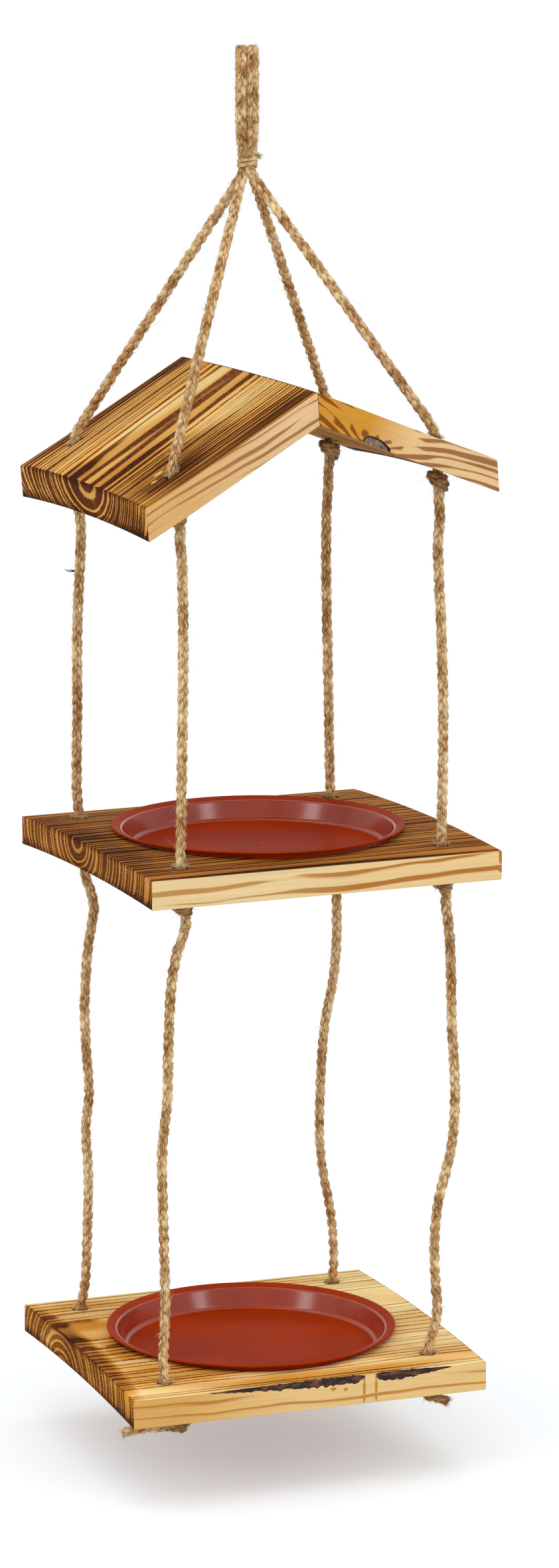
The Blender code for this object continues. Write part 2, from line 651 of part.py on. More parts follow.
def build_bridle(neck: bpy.types.Object) -> None:
    """Build the four ropes from the neck through the roof, and the knots under it."""
    up = ROOF_FRAME.to_3x3() @ Vector((0.0, 0.0, 1.0))
    starts = neck_ropes()
    start_height = Vector((0, 0, neck_bottom() - NECK_SWING_GAP - NECK_ROPE_RADIUS))
    for corner in CORNERS:
        upper, mouth = roof_mouths(corner)
        normal = roof_normal(*roof_hole(corner))
        top = starts[corner] * BRIDLE_SPREAD + start_height
        bend = upper + up * BRIDLE_BEND_RISE
        lean = (top - bend).normalized()
        route = [top, *(top.lerp(bend, third / 3) for third in (1, 2)), bend + lean * BRIDLE_BEND_RUN,
                 bend + (lean - up) * BRIDLE_BEND_LEAN, bend - up * ROPE_DIAMETER, mouth + up * 2 * TOUCH]
        points = smooth_route(route, ROPE_STEP)
        radii = [rope_radius_away((point - top).length / 3) for point in points]
        hang_on(tube("bridle_rope_" + corner, *round_end(points, radii, True), PARTS, JUTE), neck)
        centre = knot_centre(mouth, up, normal)
        foot = middle_bay_top(corner) - DOWN * (ROPE_RADIUS + TOUCH)
        hang_on(knot("roof_knot_" + corner, [], centre, normal, way_down(centre, foot)), neck)


def rope_in_hole(upper: Vector, mouth: Vector) -> list:
    """Give the rope's way through a tray, from under the end of the rope of the bay above."""
    return [upper + DOWN * (ROPE_RADIUS + SWAY_GAP), upper.lerp(mouth, 0.6)]


def build_middle_knots(pivot: bpy.types.Object) -> None:
    """Build the knots that carry the middle tray, with the rope that stands in its holes."""
    for corner in CORNERS:
        upper, mouth = tray_mouths(corner, MIDDLE_FRAME)
        normal = crown_normal(tray_hole(corner)[1], TRAY_DEPTH)
        centre = knot_centre(mouth, -DOWN, normal)
        foot = lower_bay_top(corner) - DOWN * (ROPE_RADIUS + TOUCH)
        piece = knot("middle_knot_" + corner, rope_in_hole(upper, mouth), centre, normal, way_down(centre, foot))
        hang_on(piece, pivot)


def build_lower_knots(pivot: bpy.types.Object) -> None:
    """Build the knots that carry the lower tray, with their loose ends."""
    for corner in CORNERS:
        upper, mouth = tray_mouths(corner, LOWER_FRAME)
        normal = LOWER_FRAME.to_3x3() @ crown_normal(tray_hole(corner)[1], TRAY_DEPTH)
        centre = knot_centre(mouth, -DOWN, normal)
        leaving = centre + DOWN * turn_drop()
        tail = [leaving + in_neck(*step) for step in LOWER_TAILS[corner]]
        piece = knot("lower_knot_" + corner, rope_in_hole(upper, mouth), centre, normal, [leaving, *tail])
        hang_on(piece, pivot)


def build_bay(label: str, top_of, bottom_of, wander: dict, left: bpy.types.Object,
              right: bpy.types.Object) -> None:
    """Build the four ropes of one bay."""
    for corner in CORNERS:
        rope = straight_rope(f"{label}_rope_{corner}", top_of(corner), bottom_of(corner), wander[corner])
        hang_on(rope, left if CORNERS[corner][0] < 0 else right)


def shade(parts: bpy.types.Collection) -> None:
    """Shade round pieces smooth and keep their sharp edges."""
    for piece in parts.objects:
        if piece.type == "MESH":
            piece.data.shade_smooth()
            piece.data.set_sharp_from_angle(angle=math.radians(35))


def build_feeder() -> None:
    """Build every piece from the hook down, and print the joint places."""
    neck = add_pivot("neck_pivot", Vector((0, 0, neck_bottom())))
    build_loops()
    build_tie()
    build_roof(neck)
    build_bridle(neck)
    middle_left = side_pivot("middle_left_pivot", middle_bay_top, -1)
    middle_right = side_pivot("middle_right_pivot", middle_bay_top, 1)
    build_bay("middle", middle_bay_top, middle_bay_bottom, MIDDLE_WANDER, middle_left, middle_right)
    middle_tray = side_pivot("middle_tray_pivot", middle_bay_bottom, -1)
    build_tray("middle_board", MIDDLE_FRAME, middle_tray)
    build_middle_knots(middle_tray)
    upper_dish = add_pivot("upper_saucer_pivot", MIDDLE_FRAME.translation)
    build_saucer("upper_saucer", MIDDLE_FRAME, upper_dish)
    lower_left = side_pivot("lower_left_pivot", lower_bay_top, -1)
    lower_right = side_pivot("lower_right_pivot", lower_bay_top, 1)
    build_bay("lower", lower_bay_top, lower_bay_bottom, LOWER_WANDER, lower_left, lower_right)
    lower_tray = side_pivot("lower_tray_pivot", lower_bay_bottom, -1)
    build_tray("lower_board", LOWER_FRAME, lower_tray)
    build_lower_knots(lower_tray)
    lower_dish = add_pivot("lower_saucer_pivot", LOWER_FRAME.translation)
    build_saucer("lower_saucer", LOWER_FRAME, lower_dish)
    shade(PARTS)
    for pivot in [item for item in PARTS.objects if item.type == "EMPTY"]:
        print(pivot.name, [round(value, 5) for value in pivot.location])


build_feeder()
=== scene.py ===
"""Looks of the hanging bird feeder: flamed pine boards, plaited jute ropes and terracotta saucers.

Metres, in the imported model's frame. The origin is where a hook bears inside the hanging loops.
X runs along the front edge of the middle tray, Y to its back edge, and Z up.
"""

import logging
import math
import random
from dataclasses import dataclass
from enum import Enum

import bmesh
import bpy
import numpy as np
from bpy.types import Material, Node, NodeSocket, NodeTree, Object
from mathutils import Matrix, Vector


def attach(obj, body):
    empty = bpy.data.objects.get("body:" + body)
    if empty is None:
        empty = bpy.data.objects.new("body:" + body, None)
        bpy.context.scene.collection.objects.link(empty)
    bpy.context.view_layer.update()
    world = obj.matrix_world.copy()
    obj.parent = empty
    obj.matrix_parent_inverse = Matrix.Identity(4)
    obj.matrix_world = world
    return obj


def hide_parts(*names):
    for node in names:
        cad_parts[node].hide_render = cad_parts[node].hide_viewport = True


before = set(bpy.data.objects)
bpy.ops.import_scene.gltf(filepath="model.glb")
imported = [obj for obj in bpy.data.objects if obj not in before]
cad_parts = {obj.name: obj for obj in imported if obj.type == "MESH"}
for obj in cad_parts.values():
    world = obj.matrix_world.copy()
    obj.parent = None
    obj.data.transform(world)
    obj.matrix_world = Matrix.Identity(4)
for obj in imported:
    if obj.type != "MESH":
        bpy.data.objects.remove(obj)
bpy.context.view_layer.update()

LOG = logging.getLogger("bird_feeder")
MM = 0.001
UP = Vector((0.0, 0.0, 1.0))
WHITE = (1.0, 1.0, 1.0, 1.0)
# Where nearly all values of a noise lie.
NOISE_SPAN = {"From Min": 0.3, "From Max": 0.7}


class Corner(Enum):
    """The four rope places: which side in X, and which end in Y."""

    FRONT_LEFT = (-1, -1)
    BACK_LEFT = (-1, 1)
    FRONT_RIGHT = (1, -1)
    BACK_RIGHT = (1, 1)

    @property
    def label(self) -> str:
        """Give the corner's name as the nodes spell it."""
        return self.name.lower()

    @property
    def side(self) -> str:
        """Give the side's name as the bodies spell it."""
        return "left" if self.value[0] < 0 else "right"


def linear(hex_colour: str) -> tuple[float, float, float, float]:
    """Turn an sRGB hex colour to linear.

    Args:
        hex_colour: six hex digits.

    Returns:
        Linear red, green, blue and a full alpha.
    """
    shares = [int(hex_colour[start:start + 2], 16) / 255 for start in (0, 2, 4)]
    lights = [share / 12.92 if share <= 0.04045 else ((share + 0.055) / 1.055) ** 2.4 for share in shares]
    return (*lights, 1.0)


def plug(tree: NodeTree, node: Node, inputs: dict[str | int, object]) -> None:
    """Link or set the inputs of a node.

    Args:
        tree: the node tree.
        node: the node.
        inputs: a value or a socket for each input, by its name or number.
    """
    for name, value in inputs.items():
        if isinstance(value, NodeSocket):
            tree.links.new(value, node.inputs[name])
        else:
            node.inputs[name].default_value = value


def wire(tree: NodeTree, kind: str, inputs: dict[str | int, object] | None = None, output: int | str = 0,
         stops: list[tuple[float, str]] | None = None, **settings: object) -> NodeSocket:
    """Add a node with its settings and links.

    Args:
        tree: the node tree.
        kind: the node's type.
        inputs: a value or a socket for each input, by its name or number.
        output: which output to hand back.
        stops: places and hex colours, for a colour ramp.
        settings: the node's own properties.

    Returns:
        The asked output socket.
    """
    node = tree.nodes.new(kind)
    for name, value in settings.items():
        setattr(node, name, value)
    if stops:
        ramp = node.color_ramp.elements
        while len(ramp) < len(stops):
            ramp.new(0.5)
        for element, (place, colour) in zip(ramp, stops):
            element.position = place
            element.color = linear(colour)
    plug(tree, node, inputs or {})
    return node.outputs[output]


def stretched_noise(tree: NodeTree, spot: NodeSocket, per_metre: tuple[float, float, float], detail: float,
                    output: str = "Fac") -> NodeSocket:
    """Give a noise that is drawn out along an axis, as grain is.

    Args:
        tree: the node tree.
        spot: the place it is read at.
        per_metre: how many features a metre it has along each axis.
        detail: how many finer noises are added.
        output: "Fac", or "Color" for three noises at once.

    Returns:
        The noise.
    """
    scaled = wire(tree, "ShaderNodeVectorMath", {0: spot, 1: per_metre}, operation="MULTIPLY")
    return wire(tree, "ShaderNodeTexNoise", {"Vector": scaled, "Scale": 1.0, "Detail": detail}, output)


def new_material(name: str) -> tuple[Material, NodeTree, Node]:
    """Start a material with a Principled shader.

    Args:
        name: the material's name.

    Returns:
        The material, its node tree and its shader.
    """
    material = bpy.data.materials.new(name)
    material.use_nodes = True
    return material, material.node_tree, material.node_tree.nodes["Principled BSDF"]


@dataclass(frozen=True)
class Patch:
    """An ellipse on a board's top in x and y, or on its sawn edge in x and z. Millimetres."""

    x: float
    across: float
    reach_x: float
    reach_across: float
    strength: float

    def stain(self, tree: NodeTree, spot: NodeSocket, value: NodeSocket, on_edge: bool) -> NodeSocket:
        """Add the patch's strength to a value, fading out round the ellipse.

        Args:
            tree: the node tree.
            spot: the place on the board.
            value: what the strength is added to.
            on_edge: whether the patch lies on the sawn edge.

        Returns:
            The sum.
        """
        across, scale = self.across * MM, 1 / (self.reach_across * MM)
        centre = (self.x * MM, 0.0, across) if on_edge else (self.x * MM, across, 0.0)
        scales = (1 / (self.reach_x * MM), 0.0, scale) if on_edge else (1 / (self.reach_x * MM), scale, 0.0)
        gap = wire(tree, "ShaderNodeVectorMath", {0: spot, 1: centre}, operation="SUBTRACT")
        gap = wire(tree, "ShaderNodeVectorMath", {0: gap, 1: scales}, operation="MULTIPLY")
        gap = wire(tree, "ShaderNodeVectorMath", {0: gap}, "Value", operation="LENGTH")
        near, far = (0.5, 1.2) if on_edge else (0.4, 1.25)
        added = wire(tree, "ShaderNodeMapRange", {"Value": gap, "From Min": near, "From Max": far,
                                                  "To Min": self.strength, "To Max": 0.0},
                     interpolation_type="SMOOTHSTEP")
        return wire(tree, "ShaderNodeMath", {0: value, 1: added})


@dataclass(frozen=True)
class BranchKnot:
    """A branch knot that draws the grain of the front edge towards it. Millimetres."""

    x: float
    z: float
    reach: float
    pull: float


@dataclass(frozen=True)
class SawnEdge:
    """The front and back edges, sawn after the torch, where the rings show as wavy bands.

    Millimetres. The colours change over from the left end's to the right end's at `change`.
    """

    pale: tuple[str, str]
    band: tuple[str, str]
    change: float = 0.0
    change_width: float = 40.0
    spacing: float = 5.0
    wave: float = 4.0
    wave_length: float = 60.0
    slope: float = 0.0
    share: float = 0.42
    patches: tuple[Patch, ...] = ()
    knot: BranchKnot | None = None
    fray: float = 0.16
    rise: float = 0.18
    end: float = 0.94
    shade: tuple[float, float] = (0.93, 1.05)

    def build(self, tree: NodeTree, spot: NodeSocket, fibre: NodeSocket, depth: float) -> NodeSocket:
        """Give the colour of the sawn edges.

        Args:
            tree: the node tree.
            spot: the place on the board.
            fibre: the noise of the wood's fibres.
            depth: the board's depth.

        Returns:
            The colour.
        """
        parts = wire(tree, "ShaderNodeSeparateXYZ", {0: spot}).node.outputs
        wave = stretched_noise(tree, spot, (1000 / self.wave_length, 8, 80 / self.wave_length), 2.0)
        lift = wire(tree, "ShaderNodeMath", {0: wave, 1: self.wave * 2 * MM, 2: parts["Z"]},
                    operation="MULTIPLY_ADD")
        lift = wire(tree, "ShaderNodeMath", {0: parts["X"], 1: self.slope, 2: lift}, operation="MULTIPLY_ADD")
        if self.knot:
            centre = (self.knot.x * MM, -depth * MM / 2, self.knot.z * MM)
            far = wire(tree, "ShaderNodeVectorMath", {0: spot, 1: centre}, "Value", operation="DISTANCE")
            share = wire(tree, "ShaderNodeMath", {0: far, 1: -1 / (self.knot.reach * MM)},
                         operation="MULTIPLY")
            share = wire(tree, "ShaderNodeMath", {0: share}, operation="EXPONENT")
            lift = wire(tree, "ShaderNodeMath", {0: share, 1: self.knot.pull * MM, 2: lift},
                        operation="MULTIPLY_ADD")
        count = wire(tree, "ShaderNodeMath", {0: lift, 1: self.spacing * MM}, operation="DIVIDE")
        saw = wire(tree, "ShaderNodeMath", {0: count}, operation="FRACT")
        swell = stretched_noise(tree, spot, (1000 / self.wave_length, 8, 120), 1.0)
        swell = wire(tree, "ShaderNodeMapRange", {"Value": swell, **NOISE_SPAN, "To Min": 0.93,
                                                  "To Max": 1.07 - 2 * self.share})
        start = wire(tree, "ShaderNodeMath", {0: fibre, 1: self.fray, 2: swell}, operation="MULTIPLY_ADD")
        for patch in self.patches:
            start = patch.stain(tree, spot, start, True)
        full = wire(tree, "ShaderNodeMath", {0: start, 1: self.rise})
        band = wire(tree, "ShaderNodeMapRange", {"Value": saw, "From Min": start, "From Max": full},
                    interpolation_type="SMOOTHSTEP")
        fall = wire(tree, "ShaderNodeMapRange", {"Value": saw, "From Min": self.end, "To Min": 1.0,
                                                 "To Max": 0.0})
        band = wire(tree, "ShaderNodeMath", {0: band, 1: fall}, operation="MULTIPLY")
        band = wire(tree, "ShaderNodeClamp", {"Value": band})
        over = wire(tree, "ShaderNodeMapRange", {
            "Value": parts["X"], "From Min": (self.change - self.change_width / 2) * MM,
            "From Max": (self.change + self.change_width / 2) * MM})
        pale, deep = (wire(tree, "ShaderNodeMix", {0: over, 6: linear(left), 7: linear(right)}, 2,
                           data_type="RGBA") for left, right in (self.pale, self.band))
        colour = wire(tree, "ShaderNodeMix", {0: band, 6: pale, 7: deep}, 2, data_type="RGBA")
        shade = wire(tree, "ShaderNodeMapRange", {"Value": fibre, **NOISE_SPAN, "To Min": self.shade[0],
                                                  "To Max": self.shade[1]})
        return wire(tree, "ShaderNodeVectorMath", {0: colour, "Scale": shade}, operation="SCALE")


@dataclass(frozen=True)
class FlamedPine:
    """Pine, Pinus sylvestris, planed, torched and brushed.

    The torch chars the soft early wood first, so burnt places turn dark between thin golden lines
    of late wood, and brushing leaves those lines standing. Satin, with no varnish. The log's pith,
    its ring widths and its knee, past which the rings are closer, are in millimetres.
    """

    name: str
    pith_y: float
    pith_z: float
    ring: float
    outer_ring: float
    burn: float
    end_burn: float
    edge: SawnEdge
    knee: float = 45.0
    squash: float = 1.0
    fan: float = 0.0
    drift_z: float = 0.0
    scorches: tuple[Patch, ...] = ()
    length: tuple[float, float] = (-100.0, 100.0)
    depth: float = 190.0
    fresh: tuple[str, str, str, str] = ("F0CE8C", "E6B05C", "D08E3C", "9C6228")
    charred: tuple[str, str, str, str] = ("A4682A", "6E360C", "4C2208", "240F05")
    # Wood fibres are 0.03 mm wide and char grit 0.1 mm, too fine to show. They are drawn 0.9 and 1.1 mm wide.
    streaks: tuple[float, float, float] = (22.0, 1100.0, 1100.0)
    specks: tuple[float, float, float] = (420.0, 900.0, 900.0)
    # The flame wanders, and leaves clouds about 125 mm long and 30 mm wide.
    clouds: tuple[float, float, float] = (8.0, 34.0, 34.0)
    # A log grows crooked: its rings stray by up to 7 mm, over 170 mm along it and 45 mm across.
    bends: tuple[float, float, float] = (6.0, 22.0, 22.0)
    bend_reach: tuple[float, float, float] = (7.0 * MM, 7.0 * MM, 5.0 * MM)
    dark_from: tuple[float, float] = (0.74, 0.12)
    dark_rise: float = 0.14
    dark_until: float = 0.92
    end_earlier: float = 0.26
    grit: float = 0.26
    cloud: float = 0.18
    streak: float = 0.14
    uneven_rings: float = 1.8
    rim_burn: float = 0.45
    fibre_shade: tuple[float, float] = (0.84, 1.14)
    ring_shade: tuple[float, float] = (0.88, 1.08)
    rough: tuple[float, float] = (0.68, 0.85)
    relief: float = 0.3 * MM

    def build(self, place: Matrix) -> Material:
        """Make the material for a board that stands at a place.

        Args:
            place: the board's own frame, with X along its grain and Z out of its top.

        Returns:
            The material.
        """
        material, tree, shader = new_material(self.name)
        back = place.inverted()
        spot = wire(tree, "ShaderNodeTexCoord", output="Object")
        spot = wire(tree, "ShaderNodeMapping", {"Vector": spot, "Location": back.to_translation(),
                                                "Rotation": back.to_euler("XYZ")})
        fibre = stretched_noise(tree, spot, self.streaks, 3.0)
        burn, on_end = self.burnt(tree, spot, fibre)
        face, band = self.planed(tree, spot, fibre, burn, on_end)
        parts = wire(tree, "ShaderNodeSeparateXYZ", {0: spot}).node.outputs
        side = wire(tree, "ShaderNodeMath", {0: parts["Y"]}, operation="ABSOLUTE")
        ragged = wire(tree, "ShaderNodeMath", {0: fibre, 1: 0.5 * MM, 2: side}, operation="MULTIPLY_ADD")
        reach = self.depth * MM / 2
        on_edge = wire(tree, "ShaderNodeMapRange", {"Value": ragged, "From Min": reach - 0.5 * MM,
                                                    "From Max": reach}, interpolation_type="SMOOTHSTEP")
        sawn = self.edge.build(tree, spot, fibre, self.depth)
        wood = wire(tree, "ShaderNodeMix", {0: on_edge, 6: face, 7: sawn}, 2, data_type="RGBA")
        rough = wire(tree, "ShaderNodeMapRange", {"Value": burn, "To Min": self.rough[0],
                                                  "To Max": self.rough[1]})
        height = wire(tree, "ShaderNodeMath", {0: band, 1: -0.8, 2: fibre}, operation="MULTIPLY_ADD")
        bump = wire(tree, "ShaderNodeBump", {"Strength": 0.6, "Distance": self.relief, "Height": height})
        plug(tree, shader, {"Base Color": wood, "Roughness": rough, "Normal": bump,
                            "Specular IOR Level": 0.06, "Specular Tint": linear("D89A58")})
        return material

    def planed(self, tree: NodeTree, spot: NodeSocket, fibre: NodeSocket, burn: NodeSocket,
               on_end: NodeSocket) -> tuple[NodeSocket, NodeSocket]:
        """Give the look of the planed faces and the ends.

        Args:
            tree: the node tree.
            spot: the place on the board.
            fibre: the noise of the wood's fibres.
            burn: how far the wood is charred.
            on_end: whether the place is on a sawn end.

        Returns:
            The colour, and the share of a ring's dark band in it.
        """
        mottle = stretched_noise(tree, spot, self.specks, 2.0)
        saw, tone = self.rings(tree, spot)
        start = wire(tree, "ShaderNodeMapRange", {"Value": burn, "To Min": self.dark_from[0],
                                                  "To Max": self.dark_from[1]})
        start = wire(tree, "ShaderNodeMath", {0: on_end, 1: -self.end_earlier, 2: start},
                     operation="MULTIPLY_ADD")
        full = wire(tree, "ShaderNodeMath", {0: start, 1: self.dark_rise})
        rise = wire(tree, "ShaderNodeMapRange", {"Value": saw, "From Min": start, "From Max": full},
                    interpolation_type="SMOOTHSTEP")
        fall = wire(tree, "ShaderNodeMapRange", {"Value": saw, "From Min": self.dark_until, "From Max": 1.0,
                                                 "To Min": 1.0, "To Max": 0.0})
        band = wire(tree, "ShaderNodeMath", {0: rise, 1: fall}, operation="MULTIPLY")
        grit = wire(tree, "ShaderNodeMapRange", {"Value": mottle, "From Min": 0.35, "From Max": 0.65,
                                                 "To Min": -self.grit, "To Max": self.grit})
        gritty = wire(tree, "ShaderNodeMath", {0: burn, 1: grit})
        places = (0.0, 0.33, 0.67, 1.0)
        pale = wire(tree, "ShaderNodeValToRGB", {0: burn}, stops=list(zip(places, self.fresh)))
        dark = wire(tree, "ShaderNodeValToRGB", {0: gritty}, stops=list(zip(places, self.charred)))
        face = wire(tree, "ShaderNodeMix", {0: band, 6: pale, 7: dark}, 2, data_type="RGBA")
        shade = wire(tree, "ShaderNodeMapRange", {"Value": fibre, **NOISE_SPAN,
                                                  "To Min": self.fibre_shade[0],
                                                  "To Max": self.fibre_shade[1]})
        shade = wire(tree, "ShaderNodeMath", {0: shade, 1: tone}, operation="MULTIPLY")
        return wire(tree, "ShaderNodeVectorMath", {0: face, "Scale": shade}, operation="SCALE"), band

    def rings(self, tree: NodeTree, spot: NodeSocket) -> tuple[NodeSocket, NodeSocket]:
        """Cut the log's growth rings.

        Args:
            tree: the node tree.
            spot: the place on the board.

        Returns:
            The place within a ring, from 0 to 1, and the ring's own tone.
        """
        parts = wire(tree, "ShaderNodeSeparateXYZ", {0: spot}).node.outputs
        half = self.depth * MM / 2
        hump = wire(tree, "ShaderNodeMath", {0: parts["Y"], 1: parts["Y"]}, operation="MULTIPLY")
        hump = wire(tree, "ShaderNodeMath", {0: hump, 1: -self.fan / half ** 2, 2: self.fan},
                    operation="MULTIPLY_ADD")
        lean = wire(tree, "ShaderNodeCombineXYZ", {1: hump, 2: self.drift_z})
        drift = wire(tree, "ShaderNodeVectorMath", {0: lean, "Scale": parts["X"]}, operation="SCALE")
        warp = stretched_noise(tree, spot, self.bends, 2.0, "Color")
        centre = (0.0, self.pith_y * MM, self.pith_z * MM)
        away = wire(tree, "ShaderNodeVectorMath", {0: spot, 1: centre}, operation="SUBTRACT")
        away = wire(tree, "ShaderNodeVectorMath", {0: away, 1: drift}, operation="SUBTRACT")
        away = wire(tree, "ShaderNodeVectorMath", {0: warp, 1: self.bend_reach, 2: away},
                    operation="MULTIPLY_ADD")
        away = wire(tree, "ShaderNodeVectorMath", {0: away, 1: (0.0, 1.0, self.squash)}, operation="MULTIPLY")
        radius = wire(tree, "ShaderNodeVectorMath", {0: away}, "Value", operation="LENGTH")
        past = wire(tree, "ShaderNodeMath", {0: radius, 1: self.knee * MM}, operation="SUBTRACT")
        past = wire(tree, "ShaderNodeMath", {0: past, 1: 0.0}, operation="MAXIMUM")
        denser = 1 / (self.outer_ring * MM) - 1 / (self.ring * MM)
        count = wire(tree, "ShaderNodeMath", {0: radius, 1: 1 / (self.ring * MM), 2: 10.0},
                     operation="MULTIPLY_ADD")
        count = wire(tree, "ShaderNodeMath", {0: past, 1: denser, 2: count}, operation="MULTIPLY_ADD")
        uneven = wire(tree, "ShaderNodeTexNoise", {"W": count, "Scale": 0.45, "Detail": 1.0},
                      noise_dimensions="1D")
        count = wire(tree, "ShaderNodeMath", {0: uneven, 1: self.uneven_rings, 2: count},
                     operation="MULTIPLY_ADD")
        year = wire(tree, "ShaderNodeMath", {0: count}, operation="FLOOR")
        tone = wire(tree, "ShaderNodeTexWhiteNoise", {"W": year}, noise_dimensions="1D")
        tone = wire(tree, "ShaderNodeMapRange", {"Value": tone, "To Min": self.ring_shade[0],
                                                 "To Max": self.ring_shade[1]})
        return wire(tree, "ShaderNodeMath", {0: count}, operation="FRACT"), tone

    def burnt(self, tree: NodeTree, spot: NodeSocket, fibre: NodeSocket) -> tuple[NodeSocket, NodeSocket]:
        """Lay the flame's mark over the board, darker at the rims of its ends.

        Args:
            tree: the node tree.
            spot: the place on the board.
            fibre: the noise of the wood's fibres.

        Returns:
            How far the wood is charred, from 0 to 1, and whether the place is on a sawn end.
        """
        parts = wire(tree, "ShaderNodeSeparateXYZ", {0: spot}).node.outputs
        cloud = stretched_noise(tree, spot, self.clouds, 2.0)
        cloud = wire(tree, "ShaderNodeMapRange", {"Value": cloud, **NOISE_SPAN, "To Min": -self.cloud,
                                                  "To Max": self.cloud})
        streak = wire(tree, "ShaderNodeMapRange", {"Value": fibre, **NOISE_SPAN, "To Min": -self.streak,
                                                   "To Max": self.streak})
        uneven = wire(tree, "ShaderNodeMath", {0: cloud, 1: streak})
        top = wire(tree, "ShaderNodeMath", {0: uneven, 1: self.burn})
        for patch in self.scorches:
            top = patch.stain(tree, spot, top, False)
        low, high = (end * MM for end in self.length)
        from_end = wire(tree, "ShaderNodeMath", {0: parts["X"], 1: (low + high) / 2}, operation="SUBTRACT")
        from_end = wire(tree, "ShaderNodeMath", {0: from_end}, operation="ABSOLUTE")
        on_end = wire(tree, "ShaderNodeMapRange", {"Value": from_end, "From Min": (high - low) / 2 - 0.9 * MM,
                                                   "From Max": (high - low) / 2 - 0.2 * MM})
        level = wire(tree, "ShaderNodeMath", {0: parts["Z"], 1: HANG.plank / 2})
        level = wire(tree, "ShaderNodeMath", {0: level}, operation="ABSOLUTE")
        rim = wire(tree, "ShaderNodeMapRange", {"Value": level, "From Min": HANG.plank / 2 - 3.2 * MM,
                                                "From Max": HANG.plank / 2 + 1.5 * MM,
                                                "To Max": self.rim_burn})
        end = wire(tree, "ShaderNodeMath", {0: uneven, 1: self.end_burn})
        end = wire(tree, "ShaderNodeMath", {0: end, 1: rim})
        share = wire(tree, "ShaderNodeMix", {"Factor": on_end, 2: top, 3: end})
        return wire(tree, "ShaderNodeClamp", {"Value": share}), on_end


@dataclass(frozen=True)
class Jute:
    """Jute, Corchorus, spun in soft strands of long bast fibres.

    Straw to brown and dull. Painted shade darkens the hollows between the strands, so the fibres on the
    outside look paler.
    """

    name: str
    dark: str = "7A4418"
    mean: str = "C8965A"
    light: str = "F8E0AE"
    # The colour of the painted shade in the hollows between the strands.
    hollow: str = "3E2008"
    # The fibres are about 0.05 mm thick, too fine to show, so they are drawn in bundles of 0.5 mm.
    bundles: tuple[float, float, float] = (330.0, 1900.0, 0.0)
    # A rope's tone changes every 9 mm or so, with the batch of fibres spun in.
    batches: float = 110.0
    relief: float = 0.5 * MM

    def build(self) -> Material:
        """Make the material. It reads the strand's run and girth in metres from the mesh's UV map.

        Returns:
            The material.
        """
        material, tree, shader = new_material(self.name)
        run = wire(tree, "ShaderNodeUVMap", uv_map="strand")
        along = wire(tree, "ShaderNodeVectorMath", {0: run, 1: self.bundles}, operation="MULTIPLY")
        fibre = wire(tree, "ShaderNodeTexNoise", {"Vector": along, "Scale": 1.0, "Detail": 3.0,
                                                  "Roughness": 0.7})
        spot = wire(tree, "ShaderNodeTexCoord", output="Object")
        patch = wire(tree, "ShaderNodeTexNoise", {"Vector": spot, "Scale": self.batches, "Detail": 2.0})
        mixed = wire(tree, "ShaderNodeMath", {0: patch, 1: 0.5, 2: fibre}, operation="MULTIPLY_ADD")
        colour = wire(tree, "ShaderNodeValToRGB", {0: mixed},
                      stops=[(0.60, self.dark), (0.73, self.mean), (0.88, self.light)])
        # Painted shade: points near the rope's axis, in the hollows between the strands, take the dark hollow
        # colour.
        lift = wire(tree, "ShaderNodeAttribute", output="Fac", attribute_name="lift")
        share = wire(tree, "ShaderNodeMapRange", {"Value": lift, "From Min": 0.36, "From Max": 0.78})
        deep = wire(tree, "ShaderNodeValToRGB", {0: mixed}, stops=[(0.6, self.hollow), (0.95, self.dark)])
        colour = wire(tree, "ShaderNodeMix", {0: share, 6: deep, 7: colour}, 2, data_type="RGBA")
        bump = wire(tree, "ShaderNodeBump", {"Strength": 1.0, "Distance": self.relief, "Height": fibre})
        plug(tree, shader, {"Base Color": colour, "Normal": bump, "Roughness": 0.9,
                            "Specular IOR Level": 0.2, "Sheen Weight": 0.1})
        return material


@dataclass(frozen=True)
class TerracottaPlastic:
    """Polypropylene, injection moulded and dyed like fired clay, with faint flow marks.

    The steep wall came polished off the mould, and the floor and the lip are satin.
    """

    name: str
    specular: float
    rough: tuple[float, float]
    colour: str = "A63408"
    deep: str = "942A04"
    # The dye's flow marks are about 45 mm long, and the surface ripples every 4 mm.
    flow_marks: float = 22.0
    ripples: float = 260.0
    relief: float = 0.05 * MM

    def build(self) -> Material:
        """Make the material.

        Returns:
            The material.
        """
        material, tree, shader = new_material(self.name)
        spot = wire(tree, "ShaderNodeTexCoord", output="Object")
        flow = wire(tree, "ShaderNodeTexNoise", {"Vector": spot, "Scale": self.flow_marks, "Detail": 3.0})
        colour = wire(tree, "ShaderNodeValToRGB", {0: flow}, stops=[(0.35, self.deep), (0.65, self.colour)])
        ripple = wire(tree, "ShaderNodeTexNoise", {"Vector": spot, "Scale": self.ripples, "Detail": 2.0})
        bump = wire(tree, "ShaderNodeBump", {"Strength": 0.2, "Distance": self.relief, "Height": ripple})
        rough = wire(tree, "ShaderNodeMapRange", {"Value": flow, "To Min": self.rough[0],
                                                  "To Max": self.rough[1]})
        plug(tree, shader, {"Base Color": colour, "Roughness": rough, "Normal": bump, "IOR": 1.49,
                            "Specular IOR Level": self.specular})
        return material


